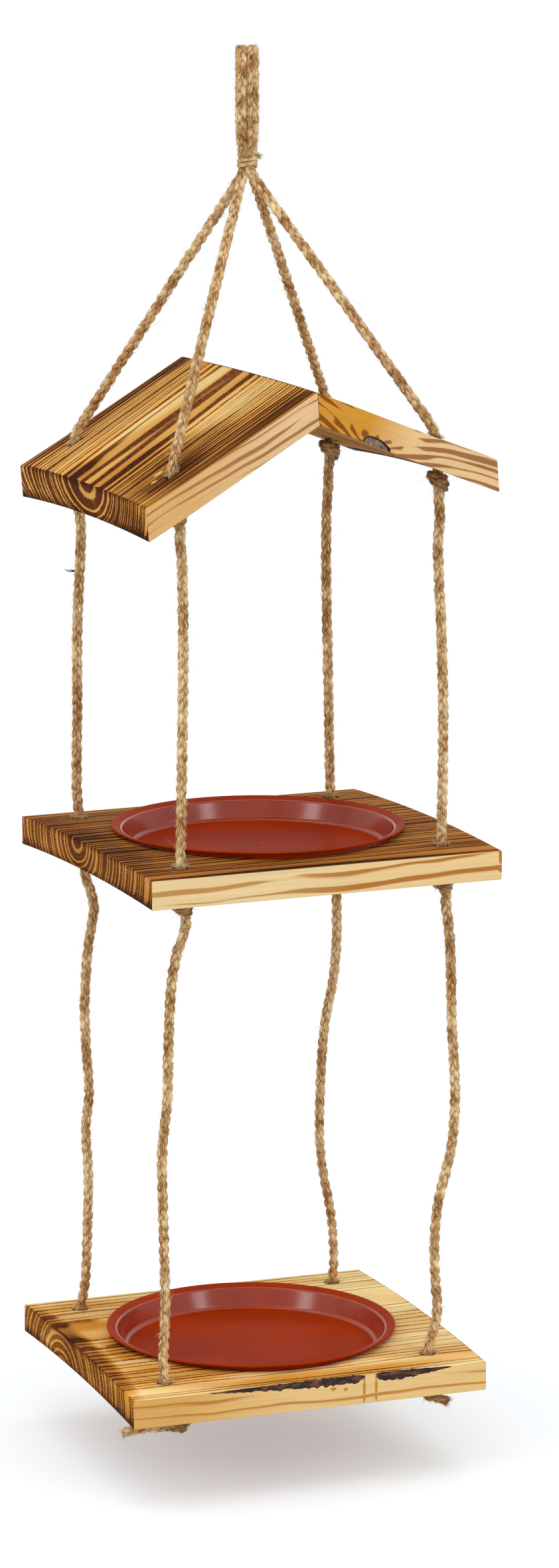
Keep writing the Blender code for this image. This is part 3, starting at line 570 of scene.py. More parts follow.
@dataclass(frozen=True)
class RawWood:
    """Wood or bark with no planed face: flaky, broken across its fibres, and dull."""

    name: str
    dark: str
    mean: str
    light: str
    # Splinters and bark flakes are about 6 mm long and 2.4 mm wide.
    grain: tuple[float, float, float] = (160.0, 420.0, 420.0)
    relief: float = 0.6 * MM

    def build(self) -> Material:
        """Make the material.

        Returns:
            The material.
        """
        material, tree, shader = new_material(self.name)
        spot = wire(tree, "ShaderNodeTexCoord", output="Object")
        flakes = stretched_noise(tree, spot, self.grain, 4.0)
        colour = wire(tree, "ShaderNodeValToRGB", {0: flakes},
                      stops=[(0.36, self.dark), (0.54, self.mean), (0.72, self.light)])
        bump = wire(tree, "ShaderNodeBump", {"Strength": 1.0, "Distance": self.relief, "Height": flakes})
        plug(tree, shader, {"Base Color": colour, "Normal": bump, "Roughness": 0.75,
                            "Specular IOR Level": 0.3})
        return material


@dataclass(frozen=True)
class WireSteel:
    """Drawn steel wire, bright and lightly brushed by its die."""

    name: str = "bright_wire_steel"
    colour: str = "B9B8B2"
    # The die's scratches are about 0.02 mm wide, too fine to show, so they are drawn about 1 mm wide.
    scratches: float = 900.0

    def build(self) -> Material:
        """Make the material.

        Returns:
            The material.
        """
        material, tree, shader = new_material(self.name)
        spot = wire(tree, "ShaderNodeTexCoord", output="Object")
        die = wire(tree, "ShaderNodeTexNoise", {"Vector": spot, "Scale": self.scratches, "Detail": 2.0})
        rough = wire(tree, "ShaderNodeMapRange", {"Value": die, "To Min": 0.28, "To Max": 0.45})
        plug(tree, shader, {"Base Color": linear(self.colour), "Metallic": 1.0, "Roughness": rough})
        return material


def smooth_route(points: list[Vector], step: float) -> list[Vector]:
    """Read points at about one step apart from a smooth curve through the route's own points.

    Args:
        points: the route's own points.
        step: about how far apart the points that come back lie.

    Returns:
        The curve's points, both ends among them.
    """
    padded = [points[0] * 2 - points[1], *points, points[-1] * 2 - points[-2]]
    route = []
    for before, start, end, after in zip(padded, padded[1:], padded[2:], padded[3:]):
        pieces = max(1, round((end - start).length / step))
        for index in range(pieces):
            t = index / pieces
            route.append(0.5 * (2 * start + (end - before) * t
                                + (2 * before - 5 * start + 4 * end - after) * t ** 2
                                + (3 * start - 3 * end + after - before) * t ** 3))
    route.append(points[-1])
    return route


class Line:
    """A rope's centreline at even steps, with a frame at each point that turns as little as it can."""

    def __init__(self, points: list[Vector], step: float, side: Vector, roll: float = 0.0) -> None:
        """Resample a route.

        Args:
            points: the smooth route.
            step: how far apart the even points lie.
            side: which way the plait's width points at the start.
            roll: how far the plait turns over about its line, in radians a metre.
        """
        rough = np.array([tuple(point) for point in points])
        run = np.concatenate([[0.0], np.cumsum(np.linalg.norm(np.diff(rough, axis=0), axis=1))])
        self.length = float(run[-1])
        self.run = np.linspace(0.0, self.length, max(4, round(self.length / step) + 1))
        self.centre = np.stack([np.interp(self.run, run, rough[:, axis]) for axis in range(3)], axis=1)
        kernel = np.array([0.25, 0.5, 0.25])
        for _ in range(2):
            for axis in range(3):
                self.centre[1:-1, axis] = np.convolve(self.centre[:, axis], kernel, mode="valid")
        self.tangent = unit(np.gradient(self.centre, axis=0))
        sides = []
        way = np.array(side, dtype=float)
        for tangent in self.tangent:
            way = way - way.dot(tangent) * tangent
            way = way / np.linalg.norm(way)
            sides.append(way)
        flat = np.array(sides)
        cross = np.cross(self.tangent, flat)
        turn = (roll * self.run)[:, None]
        self.side = flat * np.cos(turn) + cross * np.sin(turn)
        self.depth = np.cross(self.tangent, self.side)


def unit(vectors: np.ndarray) -> np.ndarray:
    """Scale each row to length 1."""
    return vectors / np.maximum(np.linalg.norm(vectors, axis=1, keepdims=True), 1e-12)


def put(name: str, data: bpy.types.ID) -> Object:
    """Put an object with its data in the scene."""
    made = bpy.data.objects.new(name, data)
    bpy.context.scene.collection.objects.link(made)
    return made


def new_piece(name: str, verts: list, faces: list, material: Material) -> Object:
    """Make a smooth object from points and faces.

    Args:
        name: the piece's name.
        verts: its points.
        faces: its faces, as lists of point numbers.
        material: its finish.

    Returns:
        The object.
    """
    mesh = bpy.data.meshes.new(name)
    mesh.from_pydata(verts, [], faces)
    mesh.materials.append(material)
    mesh.shade_smooth()
    return put(name, mesh)


@dataclass(frozen=True)
class Plait:
    """A flat plait of three soft strands, with a lump every 7 mm. `lumps` is in radians a metre."""

    radius: float = 3.0 * MM
    period: float = 17.5 * MM
    side_swing: float = 1.28 * MM
    depth_swing: float = 0.72 * MM
    strand: float = 1.58 * MM
    rough: float = 0.09
    lump: float = 0.07
    lumps: float = 900.0
    sides: int = 10
    step: float = 1.25 * MM

    def build(self, name: str, line: Line, share: np.ndarray, material: Material, phase: float) -> Object:
        """Lay the three strands along a line.

        Args:
            name: the piece's name.
            line: the rope's centreline.
            share: the rope's thickness at each point, 1 where nothing squeezes it.
            material: its finish.
            phase: where in the plait it starts, in radians.

        Returns:
            The plait.
        """
        rings, verts, lifts, faces, uvs = len(line.run), [], [], [], []
        angle = np.linspace(0.0, 2 * math.pi, self.sides, endpoint=False)
        girth = 2 * math.pi * self.strand / self.sides
        size = share[:, None]
        texture = np.random.default_rng(round(phase * 1000))
        for strand in range(3):
            swing = (2 * math.pi * line.run / self.period + phase + strand * 2 * math.pi / 3)[:, None]
            lay = (line.side * np.sin(swing) * self.side_swing
                   + line.depth * np.sin(2 * swing) * self.depth_swing)
            middle = line.centre + lay * size
            tangent = unit(np.gradient(middle, axis=0))
            first = unit(line.side - (line.side * tangent).sum(axis=1, keepdims=True) * tangent)
            second = np.cross(tangent, first)
            lump = 1 + self.lump * np.sin(line.run * self.lumps + strand * 2.1 + phase)[:, None]
            coarse = texture.uniform(-1, 1, (rings, self.sides))
            coarse = (coarse + np.roll(coarse, 1, axis=0) + np.roll(coarse, 2, axis=0)) / 2
            reach = self.strand * size * lump * (1 + self.rough * coarse)
            ring = (middle[:, None, :] + first[:, None, :] * (np.cos(angle) * reach)[:, :, None]
                    + second[:, None, :] * (np.sin(angle) * reach)[:, :, None])
            base = len(verts) * rings * self.sides
            verts.append(ring.reshape(-1, 3))
            # How far out from the rope's axis each point lies, as a share of its radius; the finish paints
            # shade where this is small.
            far = np.linalg.norm(ring - line.centre[:, None, :], axis=2) / (self.radius * size)
            lifts.append(far.reshape(-1))
            for row in range(rings - 1):
                bottom, top = line.run[row] + strand, line.run[row + 1] + strand
                low, high = base + row * self.sides, base + (row + 1) * self.sides
                for column in range(self.sides):
                    after = (column + 1) % self.sides
                    left, right = column * girth, (column + 1) * girth
                    faces.append((low + column, low + after, high + after, high + column))
                    uvs += [bottom, left, bottom, right, top, right, top, left]
            for row, order in ((0, -1), (rings - 1, 1)):
                faces.append([base + row * self.sides + column for column in range(self.sides)][::order])
                uvs += [line.run[row] + strand, 0.0] * self.sides
        piece = new_piece(name, np.concatenate(verts).tolist(), faces, material)
        piece.data.uv_layers.new(name="strand").data.foreach_set("uv", np.array(uvs, dtype=np.float32))
        lift = piece.data.attributes.new("lift", "FLOAT", "POINT")
        lift.data.foreach_set("value", np.concatenate(lifts).astype(np.float32))
        return piece


@dataclass(frozen=True)
class Fuzz:
    """Loose fibres on a rope's outside. They are drawn 0.17 mm thick, twice the real ones, to show."""

    per_metre: float = 5400.0
    lying: float = 0.6
    thickness: float = 0.085 * MM
    root: float = 1.85 * MM
    root_widening: float = 0.9 * MM
    shortest: float = 0.8 * MM
    mean_extra: float = 1.2 * MM
    longest: float = 6.0 * MM
    strays_per_metre: float = 16.0
    stray: tuple[float, float] = (6.0 * MM, 14.0 * MM)
    standing_rise: tuple[float, float] = (0.4, 1.0)
    lying_rise: tuple[float, float] = (0.05, 0.3)
    lying_turn: tuple[float, float] = (-0.5, 0.5)

    def build(self, name: str, line: Line, share: np.ndarray, material: Material,
              draw: random.Random) -> Object:
        """Grow the fibres from a rope's outside.

        Args:
            name: the piece's name.
            line: the rope's centreline.
            share: the rope's thickness at each point.
            material: their finish.
            draw: the seeded source of random numbers.

        Returns:
            All the fibres as one piece.
        """
        verts, faces = [], []
        strays = round(self.strays_per_metre * line.length)
        for number in range(max(3, round(self.per_metre * line.length)) + strays):
            index = draw.randrange(1, len(line.run) - 1)
            angle = draw.uniform(0.0, 2 * math.pi)
            out = Vector(line.side[index]) * math.cos(angle) + Vector(line.depth[index]) * math.sin(angle)
            reach = (self.root + self.root_widening * abs(math.cos(angle))) * share[index]
            root = Vector(line.centre[index]) + out * reach
            along = Vector(line.tangent[index]) * draw.choice((-1, 1)) * draw.uniform(0.2, 1.0)
            length = min(self.longest, self.shortest + draw.expovariate(1 / self.mean_extra))
            rise = draw.uniform(*self.standing_rise)
            if number < strays:
                length = draw.uniform(*self.stray)
            elif draw.random() < self.lying:
                along = along.normalized() + out.cross(along) * draw.uniform(*self.lying_turn)
                rise = draw.uniform(*self.lying_rise)
            hair(verts, faces, root, out * rise + along, length, self.thickness, draw)
        return new_piece(name, verts, faces, material)


def hair(verts: list, faces: list, root: Vector, way: Vector, length: float, thickness: float,
         draw: random.Random, steps: int = 3, curl: float = 0.5, taper: float = 0.6) -> None:
    """Add one curled fibre, three-sided and drawn out to a point.

    Args:
        verts: the points so far, added to.
        faces: the faces so far, added to.
        root: where it starts.
        way: which way it starts out.
        length: its length.
        thickness: its thickness at the root.
        draw: the seeded source of random numbers.
        steps: how many straight parts it has.
        curl: how much it bends over its length.
        taper: the share of its thickness that it loses before its point.
    """
    base = len(verts)
    place, heading = root.copy(), way.normalized()
    bend = Vector([draw.gauss(0, 1) for _ in range(3)]) * curl
    for step in range(steps):
        across = heading.orthogonal().normalized()
        other = heading.cross(across)
        reach = thickness * (1 - taper * step / steps)
        for corner in range(3):
            angle = corner * 2 * math.pi / 3
            verts.append(tuple(place + across * math.cos(angle) * reach + other * math.sin(angle) * reach))
        place = place + heading * (length / steps)
        heading = (heading + bend / steps).normalized()
    verts.append(tuple(place))
    faces.append((base + 2, base + 1, base))
    for step in range(steps - 1):
        low, high = base + 3 * step, base + 3 * (step + 1)
        for corner in range(3):
            after = (corner + 1) % 3
            faces.append((low + corner, low + after, high + after, high + corner))
    last = base + 3 * (steps - 1)
    for corner in range(3):
        faces.append((last + corner, last + (corner + 1) % 3, len(verts) - 1))


@dataclass(frozen=True)
class Hang:
    """Where the boards hang under the hook, and where the ropes pass through them."""

    loop_facing: float = math.radians(-23.5)
    ridge_drop: float = 166.3 * MM
    ridge_to_middle: float = 246.3 * MM
    middle_to_lower: float = 278.0 * MM
    roof_yaw: float = math.radians(-0.9)
    roof_roll: float = math.radians(-4.6)
    roof_slope: float = math.radians(25.1)
    middle_offset: tuple[float, float] = (5.0 * MM, -2.0 * MM)
    lower_offset: tuple[float, float] = (-0.5 * MM, -4.5 * MM)
    lower_yaw: float = math.radians(-3.1)
    plank: float = 15.5 * MM
    crown: float = 2.7 * MM
    tray_width: float = 200.0 * MM
    depth: float = 190.0 * MM
    roof_half_span: float = 98.5 * MM
    hole_from_side: float = 25.0 * MM
    hole_from_eave: float = 24.5 * MM
    hole_from_front: float = 23.0 * MM
    touch: float = 0.3 * MM
    rope: float = 3.0 * MM
    turn_radius: float = 4.4 * MM
    turn_thickness: float = 2.9 * MM
    second_turn: float = 0.88
    turn_bedding: float = 0.9
    knot_to_pivot: float = 8.5 * MM
    knot_exit: float = 3.0 * MM
    sway_gap: float = 0.9 * MM

    @property
    def sideways(self) -> Vector:
        """Give the way across the neck, from the left loop to the right one."""
        return Vector((math.cos(self.loop_facing), math.sin(self.loop_facing), 0.0))

    @property
    def away(self) -> Vector:
        """Give the way through the loops' eyes."""
        return Vector((-math.sin(self.loop_facing), math.cos(self.loop_facing), 0.0))

    @property
    def roof(self) -> Matrix:
        """Give the roof's frame, on the ridge."""
        return (Matrix.Translation((0.0, 0.0, -self.ridge_drop)) @ Matrix.Rotation(self.roof_yaw, 4, "Z")
                @ Matrix.Rotation(self.roof_roll, 4, "Y"))

    @property
    def middle(self) -> Matrix:
        """Give the middle tray's frame, on the middle of its top."""
        return Matrix.Translation((*self.middle_offset, -self.ridge_drop - self.ridge_to_middle))

    @property
    def lower(self) -> Matrix:
        """Give the lower tray's frame, on the middle of its top."""
        height = -self.ridge_drop - self.ridge_to_middle - self.middle_to_lower
        return Matrix.Translation((*self.lower_offset, height)) @ Matrix.Rotation(self.lower_yaw, 4, "Z")

    @property
    def knot_height(self) -> float:
        """Give how tall a knot of two turns is."""
        return self.turn_thickness * (2 + self.second_turn)

    @property
    def turn_drop(self) -> float:
        """Give how far a knot's lower turn lies under its upper one."""
        return self.turn_thickness * (1 + self.second_turn) * self.turn_bedding

    @property
    def hole_reach(self) -> float:
        """Give how far the rope holes lie in front of or behind a board's middle."""
        return self.depth / 2 - self.hole_from_front

    def crown_drop(self, y: float) -> float:
        """Give how far a cupped board's surface lies under its crown line."""
        return self.crown * (2 * y / self.depth) ** 2

    def cup_slope(self, y: float) -> float:
        """Give how steep a cupped board's surface is."""
        return 8 * self.crown * y / self.depth ** 2

    def roof_hole(self, corner: Corner) -> tuple[float, float]:
        """Give a roof hole's x and y in the roof's frame."""
        side, end = corner.value
        return side * (self.roof_half_span - self.hole_from_eave), end * self.hole_reach

    def tray_hole(self, corner: Corner) -> tuple[float, float]:
        """Give a tray hole's x and y in the tray's frame."""
        side, end = corner.value
        return side * (self.tray_width / 2 - self.hole_from_side), end * self.hole_reach

    def roof_mouths(self, corner: Corner) -> tuple[Vector, Vector]:
        """Give the mouths of a roof hole.

        Args:
            corner: which hole.

        Returns:
            Its upper and its lower mouth.
        """
        x, y = self.roof_hole(corner)
        upper = Vector((x, y, -abs(x) * math.tan(self.roof_slope) - self.crown_drop(y)))
        return self.roof @ upper, self.roof @ (upper - UP * self.plank / math.cos(self.roof_slope))

    def tray_mouths(self, corner: Corner, place: Matrix) -> tuple[Vector, Vector]:
        """Give the mouths of a tray hole.

        Args:
            corner: which hole.
            place: the tray's frame.

        Returns:
            Its upper and its lower mouth.
        """
        x, y = self.tray_hole(corner)
        upper = Vector((x, y, -self.crown_drop(y)))
        return place @ upper, place @ (upper - UP * self.plank)

    def roof_normal(self, corner: Corner) -> Vector:
        """Give the roof's upward normal at a hole."""
        slope = math.tan(self.roof_slope) * corner.value[0]
        across = self.cup_slope(self.roof_hole(corner)[1])
        return self.roof.to_3x3() @ Vector((slope, across, 1.0)).normalized()

    def tray_normal(self, corner: Corner, place: Matrix) -> Vector:
        """Give a tray's upward normal at a hole."""
        return place.to_3x3() @ Vector((0.0, self.cup_slope(self.tray_hole(corner)[1]), 1.0)).normalized()

    def middle_top(self, corner: Corner) -> Vector:
        """Give where a middle rope turns under its roof knot. Both ropes of a side turn on one axis.

        Args:
            corner: which rope.

        Returns:
            The place.
        """
        lowest = min(self.roof_mouths(each)[1].z for each in Corner)
        mouths = [self.roof_mouths(each)[1].x for each in Corner if each.side == corner.side]
        return Vector((sum(mouths) / len(mouths), self.tray_mouths(corner, self.middle)[0].y,
                       lowest - self.knot_height - self.knot_to_pivot))

    def middle_bottom(self, corner: Corner) -> Vector:
        """Give where a middle rope turns at the middle tray."""
        return self.tray_mouths(corner, self.middle)[0]

    def lower_top(self, corner: Corner) -> Vector:
        """Give where a lower rope turns under its knot on the middle tray."""
        mouth = self.tray_mouths(corner, self.middle)[1]
        return mouth + Vector((self.knot_exit, 0.0, -self.knot_height - self.knot_to_pivot))

    def lower_bottom(self, corner: Corner) -> Vector:
        """Give where a lower rope turns at the lower tray."""
        return self.tray_mouths(corner, self.lower)[0]

    def knot_centre(self, mouth: Vector, axis: Vector, normal: Vector) -> Vector:
        """Give the centre of a knot's upper turn, under a hole's mouth."""
        return mouth - axis * ((self.turn_thickness + 2 * self.touch) / axis.dot(normal))

    def in_neck(self, side: float, back: float, height: float) -> Vector:
        """Give a place by how far it is sideways, backward and up."""
        return self.sideways * side + self.away * back + UP * height


HANG = Hang()


class RopeMaker:
    """Makes plaited ropes of jute, plain or in a darker copy that paints shade on the knots, with their loose
    fibres and bark flakes.
    """

    burst_thickness: float = 0.07 * MM
    flake_out: float = 2.2 * MM

    def __init__(self) -> None:
        """Make the finishes that all ropes share."""
        self.plait = Plait()
        self.jute = Jute("plaited_jute").build()
        # A darker copy of the jute: painted shade for the knots, which sit under the boards.
        self.knot_shade = Jute("jute_with_painted_knot_shade", "5E3818", "9C6E3C", "D0A86E", "38200E").build()
        self.fibre = Jute("jute_fibre", "F0DDB4", "CDAD77", "EAD6AC", "BC935A").build()
        self.bark = RawWood("bark_flake", "1A100C", "3A241A", "6A4430").build()
        self.draw = random.Random(2026)

    def line(self, route: list[Vector], rolls: bool = False) -> Line:
        """Lead a rope smoothly through a route's points.

        Args:
            route: the route's own points.
            rolls: whether the plait turns over a little on its way.

        Returns:
            The rope's centreline.
        """
        roll = self.draw.uniform(-5, 5) if rolls else 0.0
        return Line(smooth_route(route, 2 * MM), self.plait.step, HANG.sideways, roll)

    def dress(self, name: str, body: str, line: Line, share: np.ndarray | None = None,
              fuzz: Fuzz = Fuzz(), knot_shade: bool = False) -> Object:
        """Make one stretch of rope and its fibres, and hang both on a body.

        Args:
            name: what the pieces' names start with.
            body: the body that they ride on.
            line: the centreline.
            share: the thickness at each point, or None for a full rope.
            fuzz: how hairy it is.
            knot_shade: whether it takes the darker jute, which paints shade on the knots.

        Returns:
            The plait.
        """
        share = np.ones(len(line.run)) if share is None else share
        phase = self.draw.uniform(0.0, 2 * math.pi)
        rope = self.plait.build(name + "_plait", line, share, self.knot_shade if knot_shade else self.jute, phase)
        loose = fuzz.build(name + "_fibres", line, share, self.fibre, self.draw)
        for piece in (rope, loose):
            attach(piece, body)
        return rope

    @staticmethod
    def declare(rope: Object, node: str, line: Line) -> None:
        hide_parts(node)
        tuple(line.centre[0])

    def burst(self, name: str, body: str, places: list[tuple[Vector, Vector]], count: int,
              spread: tuple[float, float], length: tuple[float, float], ring: float) -> None:
        """Splay short fibres, at a rope's end or where it enters a hole.

        Args:
            name: the piece's name.
            body: the body that it rides on.
            places: where each bundle starts, and which way it points.
            count: how many fibres each bundle has.
            spread: the least and most that a fibre turns outward, as a share of its way forward.
            length: the shortest and longest fibre.
            ring: how far round the place the fibres start.
        """
        verts, faces = [], []
        for place, way in places:
            across = way.orthogonal().normalized()
            other = way.cross(across).normalized()
            for _ in range(count):
                angle = self.draw.uniform(0.0, 2 * math.pi)
                out = across * math.cos(angle) + other * math.sin(angle)
                root = place + out * ring * self.draw.uniform(0.6, 1.1)
                heading = way.normalized() + out * self.draw.uniform(*spread)
                reach = self.draw.uniform(*length)
                hair(verts, faces, root, heading, reach, self.burst_thickness, self.draw)
        piece = new_piece(name, verts, faces, self.fibre)
        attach(piece, body)

    def flake(self, name: str, body: str, line: Line, share: float, out: Vector, size: float) -> None:
        """Leave a bark flake between the strands.

        Args:
            name: the piece's name.
            body: the body that it rides on.
            line: the rope's centreline.
            share: how far along the rope it sits, from 0 to 1.
            out: which way it sticks out.
            size: its length.
        """
        verts, faces = [], []
        index = round(share * (len(line.run) - 1))
        root = Vector(line.centre[index]) + out.normalized() * self.flake_out
        for way, length, thick in ((out, size, 0.5 * MM), (out + UP * 0.5, size * 0.6, 0.4 * MM)):
            hair(verts, faces, root, way, length, thick, self.draw, steps=5)
        piece = new_piece(name, verts, faces, self.bark)
        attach(piece, body)


@dataclass(frozen=True)
class RopeBay:
    """The four ropes between two boards, with how each wanders off a straight line."""

    label: str
    wander: dict[Corner, list[tuple[float, float, float]]]
    flake_share: float = 0.22
    flake_size: float = 7.0 * MM

    def build(self, maker: RopeMaker) -> None:
        """Lay the four ropes.

        Args:
            maker: the rope maker.
        """
        middle = self.label == "middle"
        tops = HANG.middle_top if middle else HANG.lower_top
        feet = HANG.middle_bottom if middle else HANG.lower_bottom
        for corner in Corner:
            top, foot = tops(corner), feet(corner)
            wander = [top.lerp(foot, share) + HANG.sideways * side + HANG.away * back
                      for share, side, back in self.wander[corner]]
            line = maker.line([top + UP * HANG.rope, top, *wander, foot, foot - UP * HANG.rope], True)
            name, body = f"{self.label}_{corner.label}", f"{self.label}_ropes_{corner.side}"
            rope = maker.dress(name, body, line)
            maker.declare(rope, f"{self.label}_rope_{corner.label}", line)
            if corner is Corner.BACK_LEFT and middle:
                maker.flake(name + "_flake", body, line, self.flake_share, HANG.sideways * -1 - UP * 0.2,
                            self.flake_size)
            LOG.info("%s rope, %s: %.0f mm", self.label, corner.label, line.length / MM)


# Each point of a rope's wander: how far along it lies, and how many metres sideways and backward.
MIDDLE_BAY = RopeBay("middle", {
    Corner.FRONT_LEFT: [(0.10, 0.0012, 0.0), (0.35, 0.0016, 0.0008), (0.65, 0.0010, -0.0006),
                        (0.90, 0.0004, 0.0)],
    Corner.BACK_LEFT: [(0.10, 0.0014, 0.0), (0.38, -0.0008, 0.0009), (0.65, -0.0010, 0.0),
                       (0.90, -0.0014, -0.0006)],
    Corner.FRONT_RIGHT: [(0.08, -0.0010, 0.0), (0.30, 0.0004, -0.0010), (0.60, 0.0014, 0.0),
                         (0.90, 0.0006, 0.0006)],
    Corner.BACK_RIGHT: [(0.08, -0.0010, 0.0), (0.30, -0.0014, 0.0007), (0.60, -0.0008, 0.0),
                        (0.90, -0.0004, -0.0007)],
})
LOWER_BAY = RopeBay("lower", {
    Corner.FRONT_LEFT: [(0.07, -0.0046, 0.0010), (0.16, -0.0064, 0.0016), (0.30, -0.0060, 0.0006),
                        (0.38, -0.0055, -0.0004), (0.49, -0.0070, -0.0010), (0.61, -0.0052, -0.0006),
                        (0.73, -0.0032, 0.0006), (0.85, -0.0014, 0.0010), (0.94, -0.0014, 0.0004)],
    Corner.BACK_LEFT: [(0.07, 0.0050, 0.0), (0.16, 0.0022, -0.0008), (0.28, 0.0007, -0.0012),
                       (0.38, 0.0015, -0.0004), (0.50, 0.0036, 0.0010), (0.58, 0.0020, 0.0014),
                       (0.69, 0.0037, 0.0008), (0.81, 0.0037, 0.0), (0.93, 0.0030, -0.0004)],
    Corner.FRONT_RIGHT: [(0.10, 0.0034, 0.0006), (0.27, 0.0060, 0.0012), (0.42, 0.0092, 0.0008),
                         (0.53, 0.0086, 0.0), (0.60, 0.0054, -0.0006), (0.67, 0.0022, -0.0012),
                         (0.76, 0.0014, -0.0012), (0.84, 0.0028, -0.0004), (0.91, 0.0044, 0.0004)],
    Corner.BACK_RIGHT: [(0.10, 0.0008, 0.0), (0.20, 0.0010, 0.0008), (0.29, -0.0006, 0.0014),
                        (0.38, -0.0046, 0.0012), (0.47, -0.0067, 0.0004), (0.63, -0.0078, -0.0006),
                        (0.73, -0.0058, -0.0010), (0.84, -0.0008, -0.0008), (0.94, 0.0010, 0.0)],
})


@dataclass(frozen=True)
class KnotSet:
    """The knots under one board: the rope that runs through, and two turns drawn tight on it."""

    label: str
    body: str
    turns: float = 2.1
    first_angle: float = 0.6
    squeeze: float = 0.88
    widest: float = 1.16
    narrowest: float = 0.68
    lean: float = math.radians(24)
    bedding: float = 0.5 * MM
    tuck: float = 1.15
    steps: int = 30
    fringe_rise: float = 0.3 * MM

    @property
    def tray(self) -> Matrix:
        """Give the frame of the tray that the knots are under."""
        return HANG.middle if self.label == "middle" else HANG.lower

    def build(self, maker: RopeMaker) -> None:
        """Tie the four knots of a board, and splay the fibres where the ropes go in on top.

        Args:
            maker: the rope maker.
        """
        entries = []
        for corner in Corner:
            above, centre, normal, below = self.route(corner)
            name = f"{self.label}_knot_{corner.label}"
            line = maker.line([*above, centre, *below])
            through = maker.dress(name, self.body, line)
            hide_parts(name)
            self.tie(maker, name, centre, normal, below[0], LUMPS.get((self.label, corner), (0.0, 1.0)))
            if self.label == "lower":
                end, inner = Vector(line.centre[-1]), Vector(line.centre[-5])
                tip = (inner.lerp(end, 0.8), (end - inner).normalized())
                maker.burst(name + "_tuft", self.body, [tip], 90, (0.0, 0.9), (1.5 * MM, 4.5 * MM), 2.0 * MM)
            mouths = HANG.roof_mouths(corner) if self.label == "roof" else HANG.tray_mouths(corner, self.tray)
            entries.append((mouths[0] + normal * self.fringe_rise, normal))
        maker.burst(self.label + "_hole_fibres", self.body, entries, 280, (-0.6, 1.6), (0.8 * MM, 2.8 * MM),
                    3.9 * MM)

    def route(self, corner: Corner) -> tuple[list[Vector], Vector, Vector, list[Vector]]:
        """Find the way of one knot's rope.

        Args:
            corner: the knot's corner.

        Returns:
            Its way in, the centre of its upper turn, the board's normal there, and its way out.
        """
        if self.label == "roof":
            mouth = HANG.roof_mouths(corner)[1]
            normal = HANG.roof_normal(corner)
            centre = HANG.knot_centre(mouth, HANG.roof.to_3x3() @ UP, normal)
            return [mouth], centre, normal, self.way_down(centre, HANG.middle_top(corner))
        upper, mouth = HANG.tray_mouths(corner, self.tray)
        normal = HANG.tray_normal(corner, self.tray)
        centre = HANG.knot_centre(mouth, UP, normal)
        above = [upper - UP * (HANG.rope + HANG.sway_gap), upper.lerp(mouth, 0.6)]
        if self.label == "middle":
            return above, centre, normal, self.way_down(centre, HANG.lower_top(corner))
        leaving = centre - UP * HANG.turn_drop
        return above, centre, normal, [leaving, *(leaving + HANG.in_neck(*step) for step in TAILS[corner])]

    @staticmethod
    def way_down(centre: Vector, pivot: Vector) -> list[Vector]:
        """Lead a rope from its knot into the rope that turns under it."""
        foot = pivot + UP * (HANG.rope + HANG.touch)
        return [centre.lerp(foot, 0.5), foot + UP * HANG.rope, foot - UP * HANG.rope]

    def tie(self, maker: RopeMaker, name: str, centre: Vector, normal: Vector, below: Vector,
            lump: tuple[float, float]) -> None:
        """Wind the turns, widest against the board and tucked in at both ends.

        Args:
            maker: the rope maker.
            name: the knot's name.
            centre: the centre of the upper turn.
            normal: the board's upward normal.
            below: where the rope leaves.
            lump: how far the turns lie to the side, and how much wider than deep they are.
        """
        shift, stretch = lump
        way = (below - centre).normalized()
        across = (HANG.sideways - normal * HANG.sideways.dot(normal)).normalized()
        other = normal.cross(across)
        points = [centre + normal * self.bedding]
        for index in range(self.steps + 1):
            turn = index / self.steps
            angle = 2 * math.pi * self.turns * turn + self.first_angle
            reach = HANG.turn_radius * (self.widest + (self.narrowest - self.widest) * turn)
            ring = across * (math.cos(angle) * reach * stretch + shift) + other * math.sin(angle) * reach
            tilt = -UP * math.sin(self.lean) * ring.dot(HANG.sideways) * turn / stretch
            points.append(centre + way * HANG.turn_drop * turn + ring + tilt)
        points.append(centre + way * HANG.turn_drop * self.tuck)
        line = Line(smooth_route(points, 1.2 * MM), maker.plait.step * 0.8, normal)
        share = np.full(len(line.run), self.squeeze)
        # The turns take the darker jute: painted shade for their place under the board.
        turns = maker.dress(name + "_turns", self.body, line, share, Fuzz(strays_per_metre=60), knot_shade=True)
        LOG.info("%s: %.0f mm of rope in its turns", turns.name, line.length / MM)


LUMPS = {("lower", Corner.FRONT_LEFT): (4.5 * MM, 1.75), ("lower", Corner.FRONT_RIGHT): (1.5 * MM, 1.3)}
# Each step of a loose tail: metres sideways, backward and up from where it leaves its knot.
TAILS = {
    Corner.FRONT_LEFT: [(-0.008, -0.001, -0.0006), (-0.015, -0.003, -0.0010), (-0.022, -0.004, -0.0030)],
    Corner.BACK_LEFT: [(-0.002, 0.004, -0.0040), (-0.004, 0.008, -0.0070)],
    Corner.FRONT_RIGHT: [(0.006, 0.001, -0.0015), (0.011, 0.002, -0.0040)],
    Corner.BACK_RIGHT: [(0.003, 0.004, -0.0030), (0.006, 0.007, -0.0065)],
}


